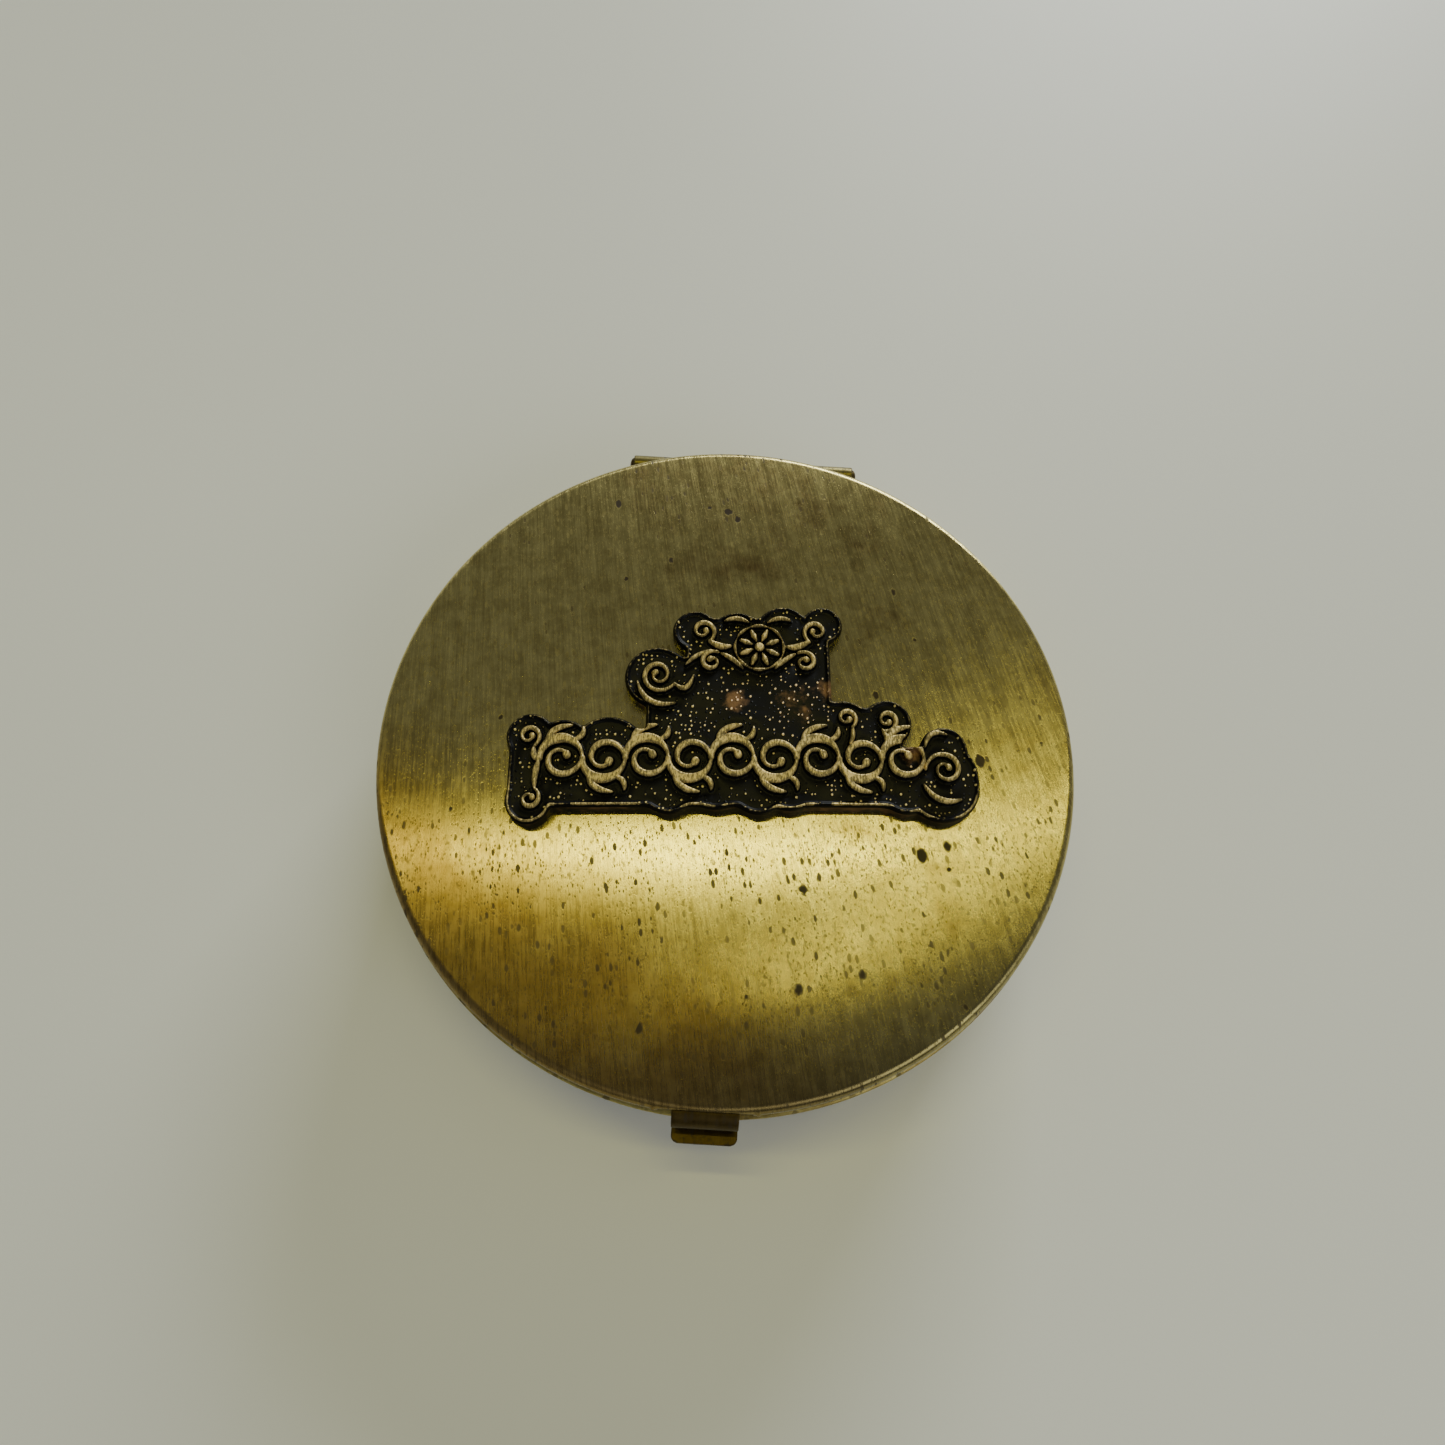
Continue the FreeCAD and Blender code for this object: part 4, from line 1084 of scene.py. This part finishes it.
def rosette_strokes():
    """A ring with petals round a button."""
    x, y, radius, petals = ROSETTE
    turn = np.linspace(0, math.tau, 60)
    ring = np.stack([x + radius * np.cos(turn), y + radius * np.sin(turn)], 1)
    button = np.array([[x, y], [x, y + 0.01]])
    strokes = [(ring, 0.13 + 0.04 * np.cos(turn * petals)), (button, np.array([0.42, 0.42]))]
    near, far = 0.58, radius - 0.36
    for i in range(petals):
        a = math.tau * (i + 0.5) / petals
        out = np.array([near, (near + far) / 2, far])[:, None]
        petal = np.array([x, y]) + out * np.array([math.cos(a), math.sin(a)])
        strokes.append((petal, np.array([0.10, 0.27, 0.17])))
    return strokes


def strokes_distance(x, y):
    """Distance outside the nearest stroke's edge, negative inside, in millimetres."""
    strokes = vine_strokes() + rosette_strokes()
    strokes += [volute(*row) for row in VOLUTES] + [leaf(*row) for row in LEAVES]
    nearest = np.full(x.shape, 9.0)
    for points, width in strokes:
        low, high = points.min(0) - 1.2, points.max(0) + 1.2
        near = np.nonzero((x > low[0]) & (x < high[0]) & (y > low[1]) & (y < high[1]))[0]
        a, b = points[:-1], points[1:]
        ab = b - a
        px, py = x[near, None] - a[:, 0], y[near, None] - a[:, 1]
        t = np.clip((px * ab[:, 0] + py * ab[:, 1]) / np.maximum((ab**2).sum(1), 1e-9), 0, 1)
        far = np.hypot(px - t * ab[:, 0], py - t * ab[:, 1]) - (width[:-1] * (1 - t) + width[1:] * t)
        nearest[near] = np.minimum(nearest[near], far.min(1))
    return nearest


def smooth_ramp(value, low, high):
    """0 below low, 1 above high, and smooth between."""
    t = np.clip((value - low) / (high - low), 0, 1)
    return t * t * (3 - 2 * t)


def plaque_surface(x, y, sizes):
    """Height above the lid and the three finish layers at points of the plaque's own frame, in millimetres.
    Ground with a softened edge, a raised border line and domed strokes. Pearls may stand away from the
    strokes."""
    depth = -outline_distance(x, y)
    out = strokes_distance(x, y)
    stroke = np.sin(np.pi / 2 * smooth_ramp(-out, -0.05, 0.17)) * smooth_ramp(depth, 0.05, 0.2)
    pearls = smooth_ramp(out, 0.10, 0.30) * smooth_ramp(depth, 0.05, 0.30)
    edge_bead = np.exp(-((depth - 0.2) / 0.13)**2)
    lower = smooth_ramp(-y, 3.6, 5.0) * smooth_ramp(-out, -9, 0) + 0.25
    sag = 0.10 * np.sin(x * 0.9) * np.sin(y * 1.1 + 0.5)
    height = sizes.thickness / MM + sag * smooth_ramp(depth, 0.3, 1.2) - 0.16 * np.exp(-depth / 0.14)
    height = height - 0.08 * np.exp(-(out / 0.35)**2) * (out > 0)
    height = height + sizes.rim_height / MM * edge_bead * (1 - stroke)
    height = height + sizes.relief / MM * stroke
    worn = sum(k * np.exp(-((x - cx)**2 + (y - cy)**2) / (2 * s * s)) for cx, cy, s, k in WORN_AND_GLINTS)
    dotted = 0.5 + 0.5 * np.sin(x * 9.0 + 2 * np.sin(y * 5.0)) * np.sin(y * 9.0 + 2 * np.sin(x * 5.0))
    # The border line's relief is raised along the plaque's lower edge and dotted elsewhere, so it shows paler
    # there.
    relief = np.maximum(stroke, edge_bead * (0.42 + 0.35 * lower + 0.16 * dotted))
    return height, relief, pearls, np.clip(worn, 0, 1)


def dome_height(x, y, sizes):
    """Height of the lid's outer dome over a point."""
    edge_r = CASE_RADIUS - sizes.lid_round
    ball = (edge_r**2 + sizes.crown**2) / (2 * sizes.crown)
    return DOME_TOP_Z - ball + np.sqrt(ball**2 - x**2 - y**2)


def make_plaque(case, sizes, colours):
    """The casting: a grid over the lobed outline with its border points drawn onto the outline, raised by the
    relief's height, side walls down to the dome, and a closed underside."""
    cell = sizes.cell / MM
    low_x, high_x, low_y, high_y = PLAQUE_GRID
    gx, gy = np.meshgrid(np.arange(low_x, high_x, cell), np.arange(low_y, high_y, cell))
    middle = outline_distance(gx[:-1, :-1] + cell / 2, gy[:-1, :-1] + cell / 2)
    keep = middle < -0.25 * cell
    columns = gx.shape[1]
    i, j = np.nonzero(keep)
    first = i * columns + j
    quads = np.stack([first, first + 1, first + columns + 1, first + columns], 1)
    used, quads = np.unique(quads, return_inverse=True)
    quads = quads.reshape(-1, 4)
    x, y = gx.ravel()[used], gy.ravel()[used]
    starts, ends = quads.ravel(), np.roll(quads, -1, 1).ravel()
    count = len(used)
    on_edge = ~np.isin(starts * count + ends, ends * count + starts)
    starts, ends = starts[on_edge], ends[on_edge]
    border = np.unique(starts)
    for _ in range(2):
        bx, by = x[border], y[border]
        d = outline_distance(bx, by)
        step = 0.01
        nx = (outline_distance(bx + step, by) - outline_distance(bx - step, by)) / (2 * step)
        ny = (outline_distance(bx, by + step) - outline_distance(bx, by - step)) / (2 * step)
        long = np.maximum(nx**2 + ny**2, 0.25)
        x[border], y[border] = bx - d * nx / long, by - d * ny / long
    height, relief, pearls, worn = plaque_surface(x, y, sizes)
    spot = np.full(count, -1)
    spot[border] = np.arange(len(border))
    walls = []
    upper_start, upper_end = starts, ends
    for level in range(len(WALL_ROWS)):
        first_of_row = count + level * len(border)
        lower_start, lower_end = first_of_row + spot[starts], first_of_row + spot[ends]
        walls.append(np.stack([upper_end, upper_start, lower_start, lower_end], 1))
        upper_start, upper_end = lower_start, lower_end
    edge_height, edge_wear_and_glints = height[border], worn[border]
    x = np.concatenate([x] + [x[border]] * len(WALL_ROWS))
    y = np.concatenate([y] + [y[border]] * len(WALL_ROWS))
    pearls = np.concatenate([pearls, np.zeros(len(WALL_ROWS) * len(border))])
    for share, tone, added in WALL_ROWS:
        sunk = WALL_SUNK if share == 0 else 0.0
        height = np.concatenate([height, edge_height * share - sunk])
        relief = np.concatenate([relief, np.full(len(border), tone)])
        worn = np.concatenate([worn, np.clip(edge_wear_and_glints + added, 0, 1)])
    c, s = math.cos(sizes.skew), math.sin(sizes.skew)
    wx, wy = (x * c - y * s) * MM, (x * s + y * c) * MM
    verts = np.stack([wx, wy, dome_height(wx, wy, case) + height * MM], 1)
    layers = {"relief": relief, "pearls": pearls, "worn": worn}
    material = casting_material(colours)
    piece = make_piece("plaque_casting", verts, np.concatenate([quads] + walls), "lid", "plaque",
                       material, layers=layers, close=True)
    make_studs(case, sizes, material)
    return sharpen(piece, 62)


def make_studs(case, sizes, material):
    """Two posts under the plaque, through the lid, with rounded peened ends."""
    first, line, radius, count = VINE
    middle = first + (count - 1) * radius
    c, s = math.cos(sizes.skew), math.sin(sizes.skew)
    low_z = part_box("plaque")[0].z
    angles = np.linspace(-math.pi, math.pi, 40, endpoint=False)
    points, faces = [], []
    for px, py in ((middle - STUD_REACH, line), (middle + STUD_REACH, line)):
        x, y = (px * c - py * s) * MM, (px * s + py * c) * MM
        top = float(dome_height(np.array(x), np.array(y), case)) + 0.3 * MM
        soft = 0.15 * MM
        profile = np.concatenate([
            [[0, low_z]], arc_points((STUD_RADIUS - soft, low_z + soft), soft, -90, 0, 6),
            straight((STUD_RADIUS, low_z + 2 * soft), (STUD_RADIUS, top), 5), [[STUD_RADIUS, top], [0, top]]])
        turned = lathe(np.repeat(profile[:, None, :], len(angles), 1), angles) + [x, y, 0]
        faces.append(grid_faces(len(profile), len(angles), False, True) + sum(len(p) for p in points))
        points.append(turned.reshape(-1, 3))
    verts = np.concatenate(points)
    zero = np.zeros(len(verts))
    layers = {"relief": zero, "pearls": zero, "worn": zero + 0.35}
    piece = make_piece("plaque_studs", verts, np.concatenate(faces), "lid", "plaque",
                       material, layers=layers)
    return sharpen(piece, 40)


def dress_push_nuts():
    """The push-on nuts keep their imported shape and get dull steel."""
    node = frame["nodes"]["plaque_push_nuts"]
    node.data.materials.clear()
    node.data.materials.append(steel_material())
    return node


# ---------------------------------------------------------------- linings

def felt_disc(name, radius, low_z, high_z, crown, body, node, material, cut=None):
    """A felt disc: flat faces with a faint swell, rounded edge, and fibre-like unevenness of its height.
    cut is a half width and a line: within the half width, the disc's edge is drawn in to the line."""
    thick = high_z - low_z
    soft = thick * 0.45
    edge = arc_points((radius - soft, low_z + thick / 2), soft, -90, 90, 9)
    edge[:, 1] = low_z + thick / 2 + (edge[:, 1] - low_z - thick / 2) * (thick / 2 / soft)
    low = np.linspace(0, radius - soft, 26)[:-1]
    profile = np.concatenate([np.stack([low, np.full_like(low, low_z)], 1), edge,
                              np.stack([low[::-1], np.full_like(low, high_z)], 1)])
    angles = np.linspace(-math.pi, math.pi, 220, endpoint=False)
    limit = np.full(len(angles), radius)
    if cut:
        half, line = cut
        angles = columns_with_edges(220, cut_edges(half, radius, False))
        inside = in_cut(angles, half, radius, False)
        limit = np.where(inside, line / np.cos(angles), radius)
    profiles = np.repeat(profile[:, None, :], len(angles), 1)
    profiles[..., 0] *= np.minimum(1.0, limit / radius)[None, :]
    points = lathe(profiles, angles)
    x, y = points[..., 0] / MM, points[..., 1] / MM
    wave = np.sin(x * 1.9 + 1.3 * np.sin(y * 0.7)) * np.sin(y * 1.6 + 0.4) + 0.5 * np.sin(x * 4.3 + y * 3.1)
    swell = (points[..., 2] - low_z) / thick if crown > 0 else (high_z - points[..., 2]) / thick
    points[..., 2] -= np.sign(crown) * 0.03 * MM * (1 + wave / 1.5) * swell * 0.8
    faces = grid_faces(*points.shape[:2], False, True)
    piece = make_piece(name, points.reshape(-1, 3), faces, body, node, material)
    return sharpen(piece, 50)


def make_linings(colours):
    """The felt discs: one glued to the floor, one under the lid with a notch for the catch's root."""
    floor_radius = FLOOR_FELT_HIGH.x
    floor = felt_disc("base_lining_felt", floor_radius, FLOOR_FELT_LOW.z, FLOOR_FELT_HIGH.z, 1.0, "base",
                      "base_lining", felt_material("base_felt", colours))
    radius = LID_FELT_HIGH.x
    half = CATCH_HIGH.x + 0.3 * MM
    line = -CATCH_HIGH.y - 0.3 * MM
    lid = felt_disc("lid_lining_felt", radius, LID_FELT_LOW.z, LID_FELT_HIGH.z, -1.0, "lid", "lid_lining",
                    felt_material("lid_felt", colours), cut=(half, line))
    return floor, lid


# ---------------------------------------------------------------- stage

# Lamps: name, one end, other end, width, power in watts and colour. Ends are from the middle of the seam.
LAMPS = [
    ("front_strip", (-0.27, 0.105, 0.59), (0.13, 0.105, 0.59), 0.018, 0.60, (1.0, 0.94, 0.22)),
    ("right_strip", (0.018, -0.024, 0.60), (0.30, 0.166, 0.47), 0.014, 0.17, (1.0, 0.93, 0.20)),
    ("back_fill", (0.05, 0.80, 0.25), (0.45, 0.70, 0.25), 0.25, 5.6, (0.94, 0.98, 1.0)),
    ("side_fill", (0.20, -0.50, 0.36), (0.50, -0.20, 0.36), 0.30, 0.7, (0.98, 1.0, 0.98)),
]
WORLD_COLOUR = (0.93, 0.97, 1.0)
WORLD_STRENGTH = 0.18
FLOOR_HALF = 0.45
FLOOR_Z = -0.00002
CAMERA_PLACE = Vector((-0.15, -27.58, 88.9)) * MM
CAMERA_LENS = 25.985        # millimetres, on a 36 mm wide sensor
# The camera's own right, down and forward directions.
CAMERA_RIGHT = (0.99826, 0.05623, 0.01779)
CAMERA_DOWN = (0.05886, -0.9312, -0.35971)
CAMERA_FORWARD = (-0.00365, 0.36013, -0.93289)


def strip_lamp(name, start, end, width, power, tint):
    """A rectangular lamp whose long side runs from start to end, facing the case."""
    middle = Vector((0.0, 0.0, SEAM_Z))
    start, end = middle + Vector(start), middle + Vector(end)
    place = (start + end) / 2
    along = (end - start).normalized()
    back = place - middle
    back = (back - along * back.dot(along)).normalized()
    data = bpy.data.lights.new(name, "AREA")
    data.shape = "RECTANGLE"
    data.size, data.size_y = (end - start).length, width
    data.energy = power
    data.color = tint
    lamp = bpy.data.objects.new(name, data)
    bpy.context.scene.collection.objects.link(lamp)
    turn = Matrix((along, back.cross(along), back)).transposed().to_4x4()
    turn.translation = place
    lamp.matrix_world = turn
    return lamp


def make_stage(colours):
    """Pale floor, soft lamps and the camera above and in front of the case."""
    line = np.linspace(-FLOOR_HALF, FLOOR_HALF, 13)
    x, y = np.meshgrid(line, line)
    verts = np.stack([x.ravel(), y.ravel(), np.full(x.size, FLOOR_Z)], 1)
    mesh = bpy.data.meshes.new("floor")
    mesh.from_pydata(verts.tolist(), [], grid_faces(len(line), len(line), False, False).tolist())
    mesh.materials.append(floor_material(colours))
    floor = bpy.data.objects.new("floor", mesh)
    bpy.context.scene.collection.objects.link(floor)
    for lamp in LAMPS:
        strip_lamp(*lamp)
    world = bpy.data.worlds.new("soft_world")
    world.use_nodes = True
    background = world.node_tree.nodes["Background"]
    background.inputs["Color"].default_value = rgba(WORLD_COLOUR)
    background.inputs["Strength"].default_value = WORLD_STRENGTH
    bpy.context.scene.world = world
    data = bpy.data.cameras.new("camera")
    data.sensor_width = 36.0
    data.lens = CAMERA_LENS
    data.clip_start = 0.005
    camera = bpy.data.objects.new("camera", data)
    bpy.context.scene.collection.objects.link(camera)
    pose = Matrix((Vector(CAMERA_RIGHT), -Vector(CAMERA_DOWN), -Vector(CAMERA_FORWARD))).transposed().to_4x4()
    pose.translation = CAMERA_PLACE
    camera.matrix_world = pose
    bpy.context.scene.camera = camera


# ---------------------------------------------------------------- operators

class CASE_OT_lid(bpy.types.Operator):
    """Builds the domed lid"""
    bl_idname = "case.lid"
    bl_label = "Lid"

    def execute(self, context):
        make_lid(context.scene.case_sizes, context.scene.case_colours)
        return {"FINISHED"}


class CASE_OT_base(bpy.types.Operator):
    """Builds the base pan and its inner collar"""
    bl_idname = "case.base"
    bl_label = "Base and collar"

    def execute(self, context):
        make_pan(context.scene.case_sizes, context.scene.case_colours)
        make_collar(context.scene.case_sizes, context.scene.case_colours)
        return {"FINISHED"}


class CASE_OT_hinge(bpy.types.Operator):
    """Builds the three knuckles, the pin and the solder"""
    bl_idname = "case.hinge"
    bl_label = "Hinge"

    def execute(self, context):
        make_knuckles(context.scene.case_sizes, context.scene.case_colours)
        make_pin(context.scene.case_sizes, context.scene.case_colours)
        make_solder(context.scene.case_colours)
        return {"FINISHED"}


class CASE_OT_catch(bpy.types.Operator):
    """Builds the spring catch"""
    bl_idname = "case.catch"
    bl_label = "Catch"

    def execute(self, context):
        make_catch(context.scene.case_sizes, context.scene.case_colours)
        return {"FINISHED"}


class CASE_OT_plaque(bpy.types.Operator):
    """Builds the cast plaque with its scrollwork and studs, and gives the push-on nuts their steel"""
    bl_idname = "case.plaque"
    bl_label = "Plaque"

    def execute(self, context):
        scene = context.scene
        make_plaque(scene.case_sizes, scene.plaque_sizes, scene.case_colours)
        dress_push_nuts()
        return {"FINISHED"}


class CASE_OT_linings(bpy.types.Operator):
    """Builds the two felt linings"""
    bl_idname = "case.linings"
    bl_label = "Linings"

    def execute(self, context):
        make_linings(context.scene.case_colours)
        return {"FINISHED"}


class CASE_OT_stage(bpy.types.Operator):
    """Builds the floor, the lamps and the camera"""
    bl_idname = "case.stage"
    bl_label = "Stage"

    def execute(self, context):
        make_stage(context.scene.case_colours)
        return {"FINISHED"}


OPERATORS = (CASE_OT_lid, CASE_OT_base, CASE_OT_hinge, CASE_OT_catch, CASE_OT_plaque, CASE_OT_linings,
             CASE_OT_stage)


class CASE_PT_panel(bpy.types.Panel):
    """Sizes, colours and makers of the case"""
    bl_label = "Round case"
    bl_idname = "CASE_PT_panel"
    bl_space_type = "VIEW_3D"
    bl_region_type = "UI"
    bl_category = "Case"

    def draw(self, context):
        for group in (context.scene.case_sizes, context.scene.plaque_sizes, context.scene.case_colours):
            for name in group.__annotations__:
                self.layout.prop(group, name)
        for operator in OPERATORS:
            self.layout.operator(operator.bl_idname)


CLASSES = (CaseSizes, PlaqueSizes, CaseColours) + OPERATORS + (CASE_PT_panel,)


def register():
    """Adds the classes and their properties to Blender."""
    for item in CLASSES:
        bpy.utils.register_class(item)
    bpy.types.Scene.case_sizes = bpy.props.PointerProperty(type=CaseSizes)
    bpy.types.Scene.plaque_sizes = bpy.props.PointerProperty(type=PlaqueSizes)
    bpy.types.Scene.case_colours = bpy.props.PointerProperty(type=CaseColours)


def unregister():
    """Takes the properties and the classes away again."""
    del bpy.types.Scene.case_sizes
    del bpy.types.Scene.plaque_sizes
    del bpy.types.Scene.case_colours
    for item in reversed(CLASSES):
        bpy.utils.unregister_class(item)


def main():
    """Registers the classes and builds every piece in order."""
    register()
    bpy.ops.case.lid()
    bpy.ops.case.base()
    bpy.ops.case.hinge()
    bpy.ops.case.catch()
    bpy.ops.case.plaque()
    bpy.ops.case.linings()
    bpy.ops.case.stage()


if __name__ == "__main__":
    main()
